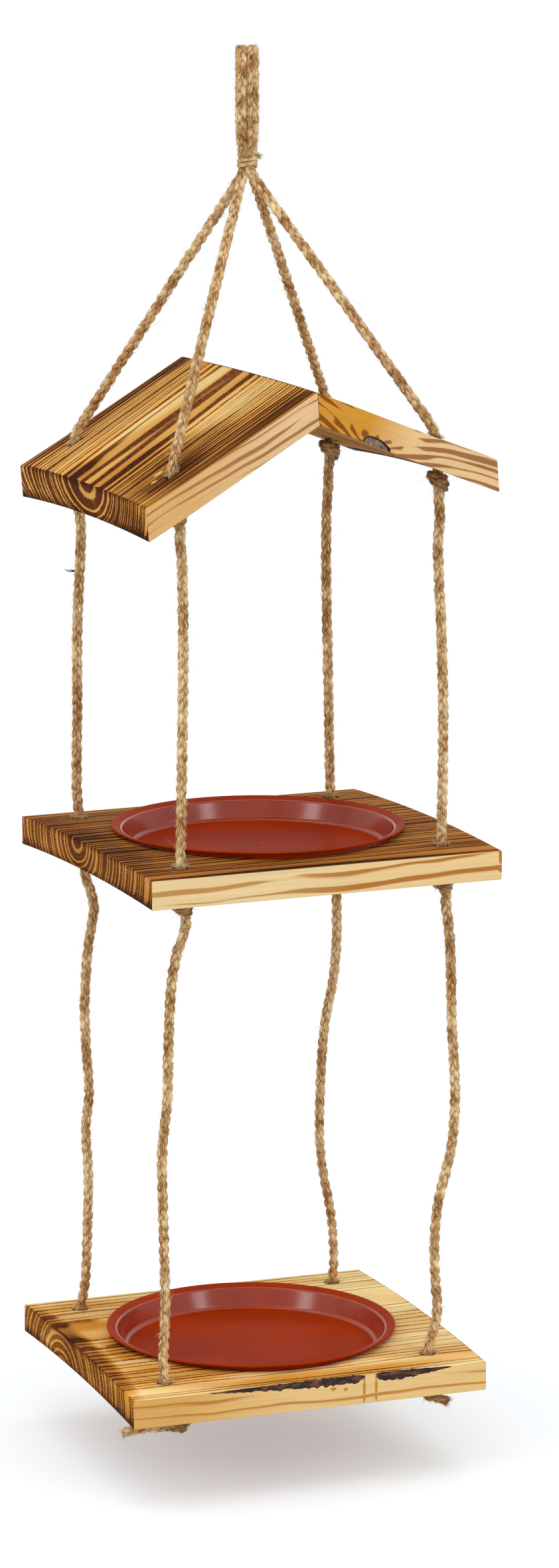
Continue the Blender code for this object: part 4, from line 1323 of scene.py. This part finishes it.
@dataclass(frozen=True)
class Neck:
    """The hanging loops, the twine round their neck and the four ropes that spread from it."""

    loop_half_width: float = 12.0 * MM
    taper_half_width: float = 7.4 * MM
    taper_drop: float = 6.0 * MM
    loop_length: float = 56.0 * MM
    loop_swell: float = 1.1
    loop_fuzz: float = 7000.0
    neck_rope: float = 1.9 * MM
    squeeze: float = 0.96
    twine: float = 1.8 * MM
    twine_gap: float = 0.6 * MM
    roundness: float = 0.55
    tie_turns: int = 2
    tie_tilt: float = 0.5 * MM
    inside_tie: float = 3.6 * MM
    swing_gap: float = 0.7 * MM
    spread: float = 1.15
    bend_rise: float = 3.9 * MM
    bend_lean: float = 1.0 * MM
    bend_run: float = 8.4 * MM
    flake_share: float = 0.52
    flake_size: float = 5.0 * MM
    tie_end: tuple[float, float, float] = (1.6 * MM, -2.2 * MM, 0.6 * MM)

    @property
    def tie_height(self) -> float:
        """Give how tall the tie's band is."""
        return self.tie_turns * (self.twine + self.twine_gap) + self.twine

    @property
    def bottom(self) -> float:
        """Give the height of the tie's lower side."""
        return -self.loop_length - self.tie_height / 2

    def start(self, corner: Corner) -> Vector:
        """Give where a rope's axis runs through the tie, seen from above."""
        reach = self.neck_rope + HANG.touch / 2
        return HANG.in_neck(corner.value[0] * reach, corner.value[1] * reach, 0.0)

    def share(self, away: np.ndarray, most: float = 1.0) -> np.ndarray:
        """Give a rope's thickness at distances from the tie, which squeezes it."""
        return self.squeeze + (most - self.squeeze) * np.clip(away / (2 * HANG.rope), 0.0, 1.0)

    def build(self, maker: RopeMaker) -> None:
        """Build the loops, the bridle and the tie.

        Args:
            maker: the rope maker.
        """
        self.build_loops(maker)
        self.build_bridle(maker)
        self.build_tie(maker)

    def build_loops(self, maker: RopeMaker) -> None:
        """Fold a rope over the hook on each side.

        Args:
            maker: the rope maker.
        """
        tie_top = self.bottom + self.tie_height
        shoulder = HANG.rope - self.loop_half_width
        taper = (tie_top + shoulder) / 2 - self.taper_drop
        round_share = math.sqrt(0.5)
        for corner in (Corner.BACK_LEFT, Corner.BACK_RIGHT):
            foot = self.start(corner)
            across = HANG.sideways * corner.value[0] * HANG.rope
            half = [foot + UP * (self.bottom + self.neck_rope), foot + UP * tie_top,
                    across + HANG.in_neck(0.0, self.taper_half_width, taper),
                    across + HANG.in_neck(0.0, self.loop_half_width, shoulder),
                    across + (HANG.away + UP) * self.loop_half_width * round_share + UP * shoulder]
            mirrored = [point - HANG.away * 2 * point.dot(HANG.away) for point in half]
            line = maker.line([*half, across + UP * HANG.rope, *mirrored[::-1]])
            share = self.share((line.centre[:, 2] - tie_top) / 2, self.loop_swell)
            rope = maker.dress(f"loop_{corner.side}", "hanger", line, share, Fuzz(self.loop_fuzz))
            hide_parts(f"hanging_loop_{corner.side}")
            LOG.info("%s: %.0f mm of rope", rope.name, line.length / MM)

    def build_bridle(self, maker: RopeMaker) -> None:
        """Lead the four ropes from inside the tie to the roof's holes.

        Args:
            maker: the rope maker.
        """
        up = HANG.roof.to_3x3() @ UP
        for corner in Corner:
            upper, mouth = HANG.roof_mouths(corner)
            hidden = self.start(corner) + UP * (self.bottom + self.inside_tie)
            top = self.start(corner) * self.spread + UP * (self.bottom - self.swing_gap - self.neck_rope)
            bend = upper + up * self.bend_rise
            lean = (top - bend).normalized()
            straight = [top.lerp(bend, third / 3) for third in (1, 2)]
            line = maker.line([hidden, top, *straight, bend + lean * self.bend_run,
                               bend + (lean - up) * self.bend_lean, bend - up * 2 * HANG.rope,
                               mouth + up * 2 * HANG.touch], True)
            away = np.linalg.norm(line.centre - line.centre[0], axis=1)
            rope = maker.dress(f"bridle_{corner.label}", "roof", line, self.share(away / 2))
            maker.declare(rope, "bridle_rope_" + corner.label, line)
            if corner is Corner.BACK_LEFT:
                maker.flake(f"bridle_{corner.label}_flake", "roof", line, self.flake_share,
                            HANG.sideways + UP * 0.8, self.flake_size)
            LOG.info("bridle rope, %s: %.0f mm", corner.label, line.length / MM)

    def build_tie(self, maker: RopeMaker) -> None:
        """Wind the twine, plaited from fine strands, and leave its end in a tuft.

        Args:
            maker: the rope maker.
        """
        flat = 2 * self.neck_rope + self.twine * 0.4
        pitch = self.twine + self.twine_gap
        low = self.bottom + self.twine / 2
        points = []
        per_turn = 24
        for index in range(self.tie_turns * per_turn + 1):
            turns = index / per_turn
            side, back = (math.copysign(abs(share) ** self.roundness, share)
                          for share in (math.cos(2 * math.pi * turns), math.sin(2 * math.pi * turns)))
            points.append(HANG.in_neck(flat * side, flat * back, low + pitch * turns + self.tie_tilt * side))
        route = [*points, points[-1] + HANG.in_neck(*self.tie_end)]
        pale = Jute("jute_twine", "94642F", "CFA86E", "F2DCAE", "6E4820").build()
        lay = Plait(radius=self.twine * 0.62, period=5.0 * MM, side_swing=0.52 * MM, depth_swing=0.30 * MM,
                    strand=0.66 * MM, sides=8, step=0.5 * MM)
        line = Line(smooth_route(route, 0.6 * MM), lay.step, UP)
        tie = lay.build("neck_tie_twine", line, np.ones(len(line.run)), pale, 0.0)
        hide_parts("neck_tie")
        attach(tie, "hanger")
        end, inner = Vector(line.centre[-1]), Vector(line.centre[-6])
        tip = (inner.lerp(end, 0.7), (end - inner).normalized())
        maker.burst("neck_tie_tuft", "hanger", [tip], 110, (0.0, 1.3), (1.2 * MM, 3.6 * MM), 1.0 * MM)
        LOG.info("neck tie: %.0f mm of twine", line.length / MM)


@dataclass(frozen=True)
class Board:
    """One cupped pine board, with crisp edges, its rope holes and its own grain."""

    node: str
    body: str
    slot: str
    pine: FlamedPine
    ease: float = 0.55 * MM
    ease_from: float = math.radians(50)
    sharp_from: float = math.radians(38)
    strip: float = 6.0 * MM
    hole: float = 4.5 * MM
    hole_sides: int = 24
    saucer_hole: float = 75.0 * MM
    saucer_sides: int = 128
    cutter_length: float = 300.0 * MM
    ridge_crown: float = 1.1 * MM

    @property
    def on_roof(self) -> bool:
        """Tell whether it is a roof board."""
        return self.body == "roof"

    @property
    def plumb_thickness(self) -> float:
        """Give the thickness along Z."""
        return HANG.plank / math.cos(HANG.roof_slope) if self.on_roof else HANG.plank

    def build(self, place: Matrix) -> Object:
        """Make the board in place.

        Args:
            place: the frame that its holes are placed in, on the middle of its top or on the ridge.

        Returns:
            The board.
        """
        low, high = (end * MM for end in self.pine.length)
        side = math.copysign(1, low + high)
        tilt = Matrix.Identity(4)
        if self.on_roof:
            tilt = Matrix.Rotation(side * HANG.roof_slope, 4, "Y")
            low, high = low * math.cos(HANG.roof_slope), high * math.cos(HANG.roof_slope)
        material = self.pine.build(place @ tilt)
        board = self.piece(self.node + "_pine", self.blank(low, high), material)
        edges = board.modifiers.new("eased_edges", "BEVEL")
        edges.width = self.ease
        edges.segments = 2
        edges.limit_method = "ANGLE"
        edges.angle_limit = self.ease_from
        for corner in Corner:
            if not self.on_roof or corner.value[0] == side:
                hole = HANG.roof_hole(corner) if self.on_roof else HANG.tray_hole(corner)
                self.carve(board, self.rod(hole, self.hole, self.hole_sides, material))
        if not self.on_roof:
            self.carve(board, self.rod((0, 0), self.saucer_hole, self.saucer_sides, material))
        return self.finish(board, place)

    def blank(self, low: float, high: float) -> bmesh.types.BMesh:
        """Shape the board before anything is cut out of it.

        Args:
            low: its left end's x.
            high: its right end's x.

        Returns:
            The cupped board, in narrow strips both ways.
        """
        shape = bmesh.new()
        size = Matrix.Diagonal((high - low, HANG.depth, 1.0, 1.0))
        middle = Matrix.Translation(((low + high) / 2, 0, -0.5))
        bmesh.ops.create_cube(shape, size=1.0, matrix=middle @ size)
        for axis, reach in ((0, high - low), (1, HANG.depth)):
            run = [edge for edge in shape.edges
                   if abs(edge.verts[0].co[axis] - edge.verts[1].co[axis]) > reach * 0.99]
            bmesh.ops.subdivide_edges(shape, edges=run, cuts=round(reach / self.strip), use_grid_fill=True)
        for point in shape.verts:
            point.co.z = self.surface(point.co.x, point.co.y) + point.co.z * self.plumb_thickness
        return shape

    def surface(self, x: float, y: float) -> float:
        """Give the top's height. The roof falls away from its ridge, where it is less cupped.

        Args:
            x: the place along the board.
            y: the place across it.

        Returns:
            The height over the board's frame.
        """
        if not self.on_roof:
            return -HANG.crown_drop(y)
        share = min(1.0, abs(x) / HANG.roof_hole(Corner.FRONT_RIGHT)[0])
        crown = self.ridge_crown + (HANG.crown - self.ridge_crown) * share
        return -abs(x) * math.tan(HANG.roof_slope) - crown * (2 * y / HANG.depth) ** 2

    @staticmethod
    def piece(name: str, shape: bmesh.types.BMesh, material: Material) -> Object:
        """Turn a bmesh into an object, with faces looking outward.

        Args:
            name: the piece's name.
            shape: the bmesh, which is freed.
            material: its finish.

        Returns:
            The object.
        """
        bmesh.ops.recalc_face_normals(shape, faces=shape.faces)
        mesh = bpy.data.meshes.new(name)
        shape.to_mesh(mesh)
        shape.free()
        mesh.materials.append(material)
        return put(name, mesh)

    def rod(self, place: tuple[float, float], radius: float, sides: int, material: Material) -> Object:
        """Make an upright cutter for a hole.

        Args:
            place: its x and y.
            radius: the hole's radius.
            sides: how many flat sides it has.
            material: the finish of the hole's wall.

        Returns:
            The cutter.
        """
        shape = bmesh.new()
        bmesh.ops.create_cone(shape, cap_ends=True, segments=sides, radius1=radius, radius2=radius,
                              depth=self.cutter_length, matrix=Matrix.Translation((*place, 0.0)))
        return self.piece("cutter", shape, material)

    @staticmethod
    def settle(board: Object) -> None:
        """Turn a board's modifiers into its own mesh.

        Args:
            board: the board.
        """
        bpy.context.view_layer.update()
        shown = board.evaluated_get(bpy.context.evaluated_depsgraph_get())
        board.data = bpy.data.meshes.new_from_object(shown)
        board.modifiers.clear()

    def carve(self, board: Object, cutter: Object) -> None:
        """Cut a hollow in a board, and leave the cutter's finish on its walls.

        Args:
            board: the board.
            cutter: the hollow's shape, which is removed.
        """
        cut = board.modifiers.new("carve", "BOOLEAN")
        cut.operation = "DIFFERENCE"
        cut.solver = "EXACT"
        cut.material_mode = "TRANSFER"
        cut.object = cutter
        self.settle(board)
        bpy.data.objects.remove(cutter)

    def finish(self, board: Object, place: Matrix) -> Object:
        """Smooth the board, put it in place and let it stand for its CAD solid.

        Args:
            board: the carved board.
            place: its frame.

        Returns:
            The board.
        """
        board.data.shade_smooth()
        board.data.set_sharp_from_angle(angle=self.sharp_from)
        flat = board.modifiers.new("flat_faces", "WEIGHTED_NORMAL")
        flat.keep_sharp = True
        self.settle(board)
        board.data.transform(place)
        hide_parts(self.node)
        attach(board, self.body)
        LOG.info("%s", board.name)
        return board


@dataclass(frozen=True)
class KnottedBoard(Board):
    """The right roof board, sawn through a dead branch knot at the front edge's lower side."""

    knot_x: float = 30.5 * MM
    knot_radius: float = 7.4 * MM
    knot_depth: float = 2.6 * MM
    knot_sides: int = 28
    rim_depth_share: float = 0.55
    core_radius_share: float = 0.84
    flatness: float = 0.68
    swells: tuple[tuple[float, int, float], ...] = ((0.05, 3, 1.0), (0.03, 7, 0.0))

    def finish(self, board: Object, place: Matrix) -> Object:
        """Sink the knot's hollow first, with a charred rim and broken wood inside.

        Args:
            board: the carved board.
            place: its frame.

        Returns:
            The board.
        """
        rim = RawWood("charred_knot_rim", "140B08", "24130C", "4A2A1A").build()
        core = RawWood("dead_knot", "4A3A30", "8C7666", "B7A391", (700.0, 700.0, 260.0)).build()
        low = self.surface(self.knot_x, -HANG.depth / 2) - self.plumb_thickness
        turn = Matrix.Translation((self.knot_x, -HANG.depth / 2, low)) @ Matrix.Rotation(math.pi / 2, 4, "X")
        for radius, depth, material in ((self.knot_radius, self.knot_depth * self.rim_depth_share, rim),
                                        (self.knot_radius * self.core_radius_share, self.knot_depth, core)):
            shape = bmesh.new()
            bmesh.ops.create_cone(shape, cap_ends=True, segments=self.knot_sides, radius1=radius,
                                  radius2=radius, depth=2 * depth, matrix=turn)
            for point in shape.verts:
                angle = math.atan2(point.co.z - low, point.co.x - self.knot_x)
                swell = 1.0
                for size, times, start in self.swells:
                    swell += size * math.sin(times * angle + start)
                along = (point.co.x - self.knot_x) * swell
                over = (point.co.z - low) * swell * self.flatness
                point.co.x = self.knot_x + along
                point.co.z = low + over - along * math.tan(HANG.roof_slope)
            self.carve(board, self.piece("cutter", shape, material))
        return Board.finish(self, board, place)


@dataclass(frozen=True)
class WanyBoard(Board):
    """The lower tray's board, whose front edge kept bark along its top, with one bare bridge.

    A strip has its start, its end and its greatest depth in millimetres. The other pairs are the
    least and the most of what varies along it, as shares of its size at that place.
    """

    strips: tuple[tuple[float, float, float], ...] = ((-62.0, 30.0, 4.2), (36.5, 82.0, 4.6))
    step: float = 1.5 * MM
    proud: float = 1.0 * MM
    least: float = 0.15 * MM
    size_range: tuple[float, float] = (0.82, 1.12)
    waist_in: tuple[float, float] = (0.15, 0.3)
    waist_down: tuple[float, float] = (0.45, 0.65)
    back_in: tuple[float, float] = (0.6, 0.85)

    def finish(self, board: Object, place: Matrix) -> Object:
        """Cut the wane away first, with bark left on it.

        Args:
            board: the carved board.
            place: its frame.

        Returns:
            The board.
        """
        bark = RawWood("pine_bark", "160E0C", "382019", "7A4A36").build()
        draw = random.Random(7)
        for start, end, deepest in self.strips:
            self.carve(board, self.piece("cutter", self.wane(start, end, deepest, draw), bark))
        return Board.finish(self, board, place)

    def wane(self, start: float, end: float, deepest: float, draw: random.Random) -> bmesh.types.BMesh:
        """Shape the cutter for one strip of wane, deepest beside the bridge.

        Args:
            start: the strip's start, in millimetres.
            end: its end.
            deepest: its greatest depth.
            draw: the seeded source of random numbers.

        Returns:
            The cutter.
        """
        shape = bmesh.new()
        edge, top = -HANG.depth / 2, -HANG.crown
        stations = round((end - start) * MM / self.step)
        rings = []
        for index in range(stations + 1):
            share = index / stations
            from_tip, from_bridge = (share, 1 - share) if start < 0 else (1 - share, share)
            taper = min(1.0, 1.6 * from_tip) ** 0.8
            steep = min(1.0, 25 * from_bridge)
            size = deepest * MM * taper * (0.35 + 0.65 * steep) * draw.uniform(*self.size_range) + self.least
            x = start * MM + (end - start) * MM * share
            corner = (x, edge - self.proud, top + self.proud)
            below = (x, edge - self.proud, top - size - self.proud * 0.4)
            waist = (x, edge + size * draw.uniform(*self.waist_in),
                     top - size * draw.uniform(*self.waist_down))
            behind = (x, edge + size * draw.uniform(*self.back_in), top + self.proud)
            rings.append([shape.verts.new(point) for point in (corner, below, waist, behind)])
        for before, after in zip(rings, rings[1:]):
            for index in range(4):
                follow = (index + 1) % 4
                shape.faces.new((before[index], before[follow], after[follow], after[index]))
        shape.faces.new(rings[0][::-1])
        shape.faces.new(rings[-1])
        bmesh.ops.triangulate(shape, faces=shape.faces)
        return shape


@dataclass(frozen=True)
class Saucer:
    """A flower pot saucer, turned as one thin wall."""

    radius: float = 79.0 * MM
    lip: float = 6.0 * MM
    lip_rise: float = 1.7 * MM
    wall: float = 1.3 * MM
    depth: float = 10.5 * MM
    draft: float = 3.0 * MM
    lip_height: float = 1.3 * MM
    crest_share: float = 0.9
    edge_share: float = 0.45
    gate: tuple[tuple[float, float], ...] = ((0.0, 0.35 * MM), (0.6 * MM, 0.30 * MM), (0.9 * MM, 0.0))
    sides: int = 144
    sharp_from: float = math.radians(60)

    def profile(self) -> tuple[list[tuple[float, float]], range]:
        """Give the section from the middle of the floor, over the lip and back underneath.

        Returns:
            The section's points, and which rows of them the polished wall takes up.
        """
        lip_in = self.radius - self.lip
        floor = lip_in - self.draft
        rim = self.lip_height + self.lip_rise
        bottom = self.lip_height - self.depth
        quarter = [math.radians(degrees) for degrees in range(0, 91, 15)]
        gate = [(out, bottom + rise) for out, rise in self.gate]
        flat = [(1.2 * MM, bottom), *((share * floor, bottom) for share in (0.1, 0.35, 0.7, 0.93))]
        curve = 2 * self.wall
        foot = [(floor - curve + curve * math.sin(turn), bottom + curve * (1 - math.cos(turn)))
                for turn in quarter]
        brow = self.crest_share * self.wall
        crest = [(lip_in + brow * (1 - math.cos(turn)), self.lip_height - brow * (1 - math.sin(turn)))
                 for turn in quarter]
        edge = self.edge_share * self.wall
        lip_edge = [(self.radius - edge + edge * math.sin(2 * turn), rim - edge + edge * math.cos(2 * turn))
                    for turn in quarter]
        under = [(lip_in + self.wall, self.lip_height - self.wall * 0.7),
                 (floor + self.wall, bottom + curve), (floor + self.wall / 2, bottom - self.wall * 0.6),
                 (floor - curve / 2, bottom - self.wall), (0.0, bottom - self.wall)]
        start = len(gate) + len(flat)
        wall = range(start, start + len(foot) + len(crest) - 1)
        return [*gate, *flat, *foot, *crest, *lip_edge, *under], wall

    def build(self, node: str, body: str, place: Matrix, satin: Material, polished: Material) -> None:
        """Turn the saucer at a place and let it replace its CAD solid.

        Args:
            node: the solid's node.
            body: the body that it rides on.
            place: the frame of its tray.
            satin: the finish of the floor and the lip.
            polished: the finish of the wall.
        """
        points, wall = self.profile()
        verts = [place @ Vector((0.0, 0.0, points[0][1]))]
        for radius, height in points[1:-1]:
            for side in range(self.sides):
                angle = 2 * math.pi * side / self.sides
                verts.append(place @ Vector((radius * math.cos(angle), radius * math.sin(angle), height)))
        verts.append(place @ Vector((0.0, 0.0, points[-1][1])))
        last = 1 + (len(points) - 3) * self.sides
        faces, shiny = [], []
        for side in range(self.sides):
            after = (side + 1) % self.sides
            faces.append((0, 1 + side, 1 + after))
            faces.append((last + after, last + side, len(verts) - 1))
            for row in range(len(points) - 3):
                low, high = 1 + row * self.sides, 1 + (row + 1) * self.sides
                if row + 1 in wall:
                    shiny.append(len(faces))
                faces.append((low + side, high + side, high + after, low + after))
        saucer = new_piece(node + "_turned", [tuple(point) for point in verts], faces, satin)
        saucer.data.materials.append(polished)
        for face in shiny:
            saucer.data.polygons[face].material_index = 1
        saucer.data.set_sharp_from_angle(angle=self.sharp_from)
        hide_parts(node)
        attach(saucer, body)
        LOG.info("%s", saucer.name)


@dataclass(frozen=True)
class Studio:
    """A white room with soft light, and the photograph's camera."""

    camera_place: tuple[float, float, float] = (-1.066, -2.494, 0.1305)
    camera_way: tuple[float, float, float] = (0.3917, 0.9008, -0.1879)
    lens: float = 118.03
    sensor: float = 36.0
    camera_reach: float = 1000.0
    floor_height: float = -0.757
    floor_size: float = 400.0
    floor_colour: str = "DEE4E9"
    floor_glow: float = 0.31
    ambient: float = 0.55
    sun: float = 1.25
    sun_angle: float = math.radians(70)
    sun_way: tuple[float, float, float] = (0.12, 0.08, -1.0)
    softboxes: tuple[tuple[str, float], ...] = (("softbox_left", -50.0), ("softbox_right", 48.0))
    softbox_power: float = 12.5
    softbox_size: tuple[float, float] = (0.5, 1.6)
    softbox_distance: float = 2.2
    softbox_rise: float = 0.25
    softbox_drop: float = 0.3
    softbox_target: tuple[float, float, float] = (0.0, 0.0, -0.45)

    def build(self) -> None:
        """Set up the camera, the floor and the lights."""
        self.build_camera()
        self.build_floor()
        self.build_world()
        self.build_lights()

    @staticmethod
    def aim(thing: Object, way: Vector) -> None:
        """Turn a camera or a lamp to look one way."""
        thing.rotation_euler = way.to_track_quat("-Z", "Y").to_euler()

    @staticmethod
    def on_view(tree: NodeTree) -> NodeSocket:
        """Tell whether a ray shows a place: directly, in a mirror image or through glass.

        Args:
            tree: the node tree.

        Returns:
            1 for such a ray, or else 0.
        """
        path = wire(tree, "ShaderNodeLightPath").node.outputs
        seen = path["Is Camera Ray"]
        for kind in ("Is Glossy Ray", "Is Transmission Ray"):
            seen = wire(tree, "ShaderNodeMath", {0: seen, 1: path[kind]}, operation="MAXIMUM")
        return seen

    def build_camera(self) -> None:
        """Place the camera."""
        camera = put("camera", bpy.data.cameras.new("camera"))
        camera.data.lens = self.lens
        camera.data.sensor_width = self.sensor
        camera.data.clip_end = self.camera_reach
        camera.location = self.camera_place
        self.aim(camera, Vector(self.camera_way))
        bpy.context.scene.camera = camera

    def build_floor(self) -> None:
        """Lay the floor, which shows white and keeps the shadow."""
        bpy.ops.mesh.primitive_plane_add(size=self.floor_size, location=(0.0, 0.0, self.floor_height))
        floor = bpy.context.object
        floor.name = "studio_floor"
        material, tree, shader = new_material("white_floor")
        glow = wire(tree, "ShaderNodeMath", {0: self.on_view(tree), 1: self.floor_glow},
                    operation="MULTIPLY")
        plug(tree, shader, {"Base Color": linear(self.floor_colour), "Roughness": 1.0,
                            "Specular IOR Level": 0.0, "Emission Strength": glow, "Emission Color": WHITE})
        floor.data.materials.append(material)

    def build_world(self) -> None:
        """Light the room evenly, and show it white."""
        world = bpy.data.worlds.new("white_room")
        bpy.context.scene.world = world
        world.use_nodes = True
        tree = world.node_tree
        level = wire(tree, "ShaderNodeMapRange", {"Value": self.on_view(tree), "To Min": self.ambient,
                                                  "To Max": 1.0})
        plug(tree, tree.nodes["Background"], {"Color": WHITE, "Strength": level})

    def build_lights(self) -> None:
        """Hang one broad lamp overhead and a softbox on each side of the camera."""
        lamp = put("overhead", bpy.data.lights.new("overhead", "SUN"))
        lamp.data.energy = self.sun
        lamp.data.angle = self.sun_angle
        self.aim(lamp, Vector(self.sun_way))
        back = -Vector(self.camera_way)
        back.z = self.softbox_rise
        for name, turn in self.softboxes:
            box = put(name, bpy.data.lights.new(name, "AREA"))
            box.data.shape = "RECTANGLE"
            box.data.size, box.data.size_y = self.softbox_size
            box.data.energy = self.softbox_power
            way = Matrix.Rotation(math.radians(turn), 3, "Z") @ back.normalized()
            box.location = way * self.softbox_distance - UP * self.softbox_drop
            self.aim(box, Vector(self.softbox_target) - box.location)


ROOF_SPAN = HANG.roof_half_span / math.cos(HANG.roof_slope) / MM
ROOF_LEFT = Board("roof_board_left", "roof", "flamed_pine_roof", FlamedPine(
    "flamed_pine_roof_left", pith_y=17, pith_z=6, ring=11.0, outer_ring=3.9, burn=0.40, end_burn=0.50,
    knee=38, squash=2.1, fan=0.20, drift_z=0.02, length=(-ROOF_SPAN, 0.0),
    edge=SawnEdge(("D8AA6E", "E2BA8A"), ("B07A46", "A4744C"), change=-60, change_width=60, spacing=4.6,
                  wave=3.4, wave_length=65, slope=0.03, share=0.46),
    scorches=(Patch(-50, 93, 95, 14, 0.62), Patch(-92, -30, 42, 26, 0.30), Patch(-45, -82, 74, 22, 0.50),
              Patch(-52, -95, 70, 5, 0.40), Patch(-104, 15, 16, 18, 0.30), Patch(-14, -90, 20, 10, 0.2),
              Patch(-30, 28, 62, 9, -0.42), Patch(-6, 92, 16, 16, 0.3), Patch(-30, -32, 50, 26, -0.14),
              Patch(-56, -52, 26, 16, 0.26), Patch(-86, -66, 26, 22, 0.30),
              Patch(-86, -60, 2.6, 1.3, -1.3), Patch(-92, -67, 2.2, 1.3, -1.3))))
ROOF_RIGHT = KnottedBoard("roof_board_right", "roof", "flamed_pine_roof", FlamedPine(
    "flamed_pine_roof_right", pith_y=-20, pith_z=-22, ring=4.8, outer_ring=3.6, burn=0.5, end_burn=0.55,
    fan=-0.05, length=(0.0, ROOF_SPAN),
    edge=SawnEdge(("CC9036", "E2BC88"), ("8A4E1E", "9C6C44"), change=47, change_width=26, spacing=4.2,
                  wave=2.0, wave_length=48, share=0.5, knot=BranchKnot(33, -15, 26, 24),
                  patches=(Patch(46, -5, 14, 7, 1.2), Patch(58, -9, 10, 5, 0.5), Patch(36, -6, 6, 5, 0.8),
                           Patch(10, -8, 12, 12, -0.16), Patch(84, -9, 26, 12, -0.32))),
    scorches=(Patch(20, -60, 50, 25, 0.3), Patch(80, 40, 40, 40, 0.25))))
MIDDLE_TRAY = Board("middle_board", "middle_tray", "flamed_pine_tray", FlamedPine(
    "flamed_pine_middle", pith_y=20, pith_z=1, ring=5.6, outer_ring=4.6, burn=0.58, end_burn=0.38, knee=30,
    squash=1.3, fan=0.05, fresh=("DCA458", "C88A42", "B07032", "8A5222"),
    charred=("9A6028", "70390F", "48220A", "200E05"),
    edge=SawnEdge(("E6C894", "E6C48C"), ("BE8C4E", "B27434"), spacing=7.5, wave=5.5, wave_length=105,
                  slope=-0.03, share=0.40,
                  patches=(Patch(2, -11, 36, 6.0, -0.42), Patch(58, -6, 40, 5, -0.36),
                           Patch(80, -7.5, 15, 2.6, 0.8), Patch(-60, -5, 40, 3, 0.3),
                           Patch(100, -8, 2.5, 8, -0.6))),
    scorches=(Patch(-96, 0, 16, 100, 0.20), Patch(60, 10, 60, 90, -0.10), Patch(0, -93, 105, 7, 0.40),
              Patch(0, -95, 110, 4, 0.35), Patch(-60, -70, 60, 26, 0.16))))
LOWER_TRAY = WanyBoard("lower_board", "lower_tray", "flamed_pine_tray", FlamedPine(
    "flamed_pine_lower", pith_y=34, pith_z=-24, ring=6.0, outer_ring=5.2, burn=0.13, end_burn=0.42, knee=36,
    squash=1.2, fan=0.04, fresh=("FFE4A2", "E09C3C", "B0702C", "8A5222"),
    charred=("BE8440", "84480F", "52270B", "261106"),
    edge=SawnEdge(("DAA65E", "E8C283"), ("B8803C", "C48A46"), change=-40, change_width=70, spacing=6.5,
                  wave=6.0, wave_length=90, share=0.34,
                  patches=(Patch(29.6, -9, 0.9, 9, -1.3), Patch(36.4, -9, 0.9, 9, -1.3),
                           Patch(12, -8, 1.6, 1.1, -1.3), Patch(19, -9, 1.3, 1.0, -1.3))),
    scorches=(Patch(-98, -5, 8, 90, 0.5), Patch(-72, -12, 20, 20, 0.42), Patch(-62, -60, 48, 22, 0.34),
              Patch(-84, 40, 14, 14, 0.2), Patch(60, 30, 60, 60, -0.1), Patch(10, -86, 90, 9, 0.22),
              Patch(-66, 52, 60, 44, 0.13))))


def main() -> None:
    """Build the studio, then the ropes, the boards, the saucers and the brads."""
    logging.basicConfig(level=logging.INFO, format="%(name)s: %(message)s")
    bpy.context.scene.view_settings.view_transform = "Standard"
    Studio().build()
    maker = RopeMaker()
    MIDDLE_BAY.build(maker)
    LOWER_BAY.build(maker)
    Neck().build(maker)
    for label, body in (("roof", "roof"), ("middle", "middle_tray"), ("lower", "lower_tray")):
        KnotSet(label, body).build(maker)
    for board, place in ((ROOF_LEFT, HANG.roof), (ROOF_RIGHT, HANG.roof), (MIDDLE_TRAY, HANG.middle),
                         (LOWER_TRAY, HANG.lower)):
        board.build(place)
    satin = TerracottaPlastic("satin_terracotta_polypropylene", 0.01, (0.30, 0.42)).build()
    polished = TerracottaPlastic("polished_terracotta_polypropylene", 0.5, (0.14, 0.24)).build()
    for label, place in (("upper", HANG.middle), ("lower", HANG.lower)):
        Saucer().build(label + "_saucer", label + "_dish", place, satin, polished)
    steel = WireSteel().build()
    for row in (1, 2, 3):
        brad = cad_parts[f"ridge_brad_{row}"]
        brad.data.materials.clear()
        brad.data.materials.append(steel)
        LOG.info("%s", brad.name)


if __name__ == "__main__":
    main()
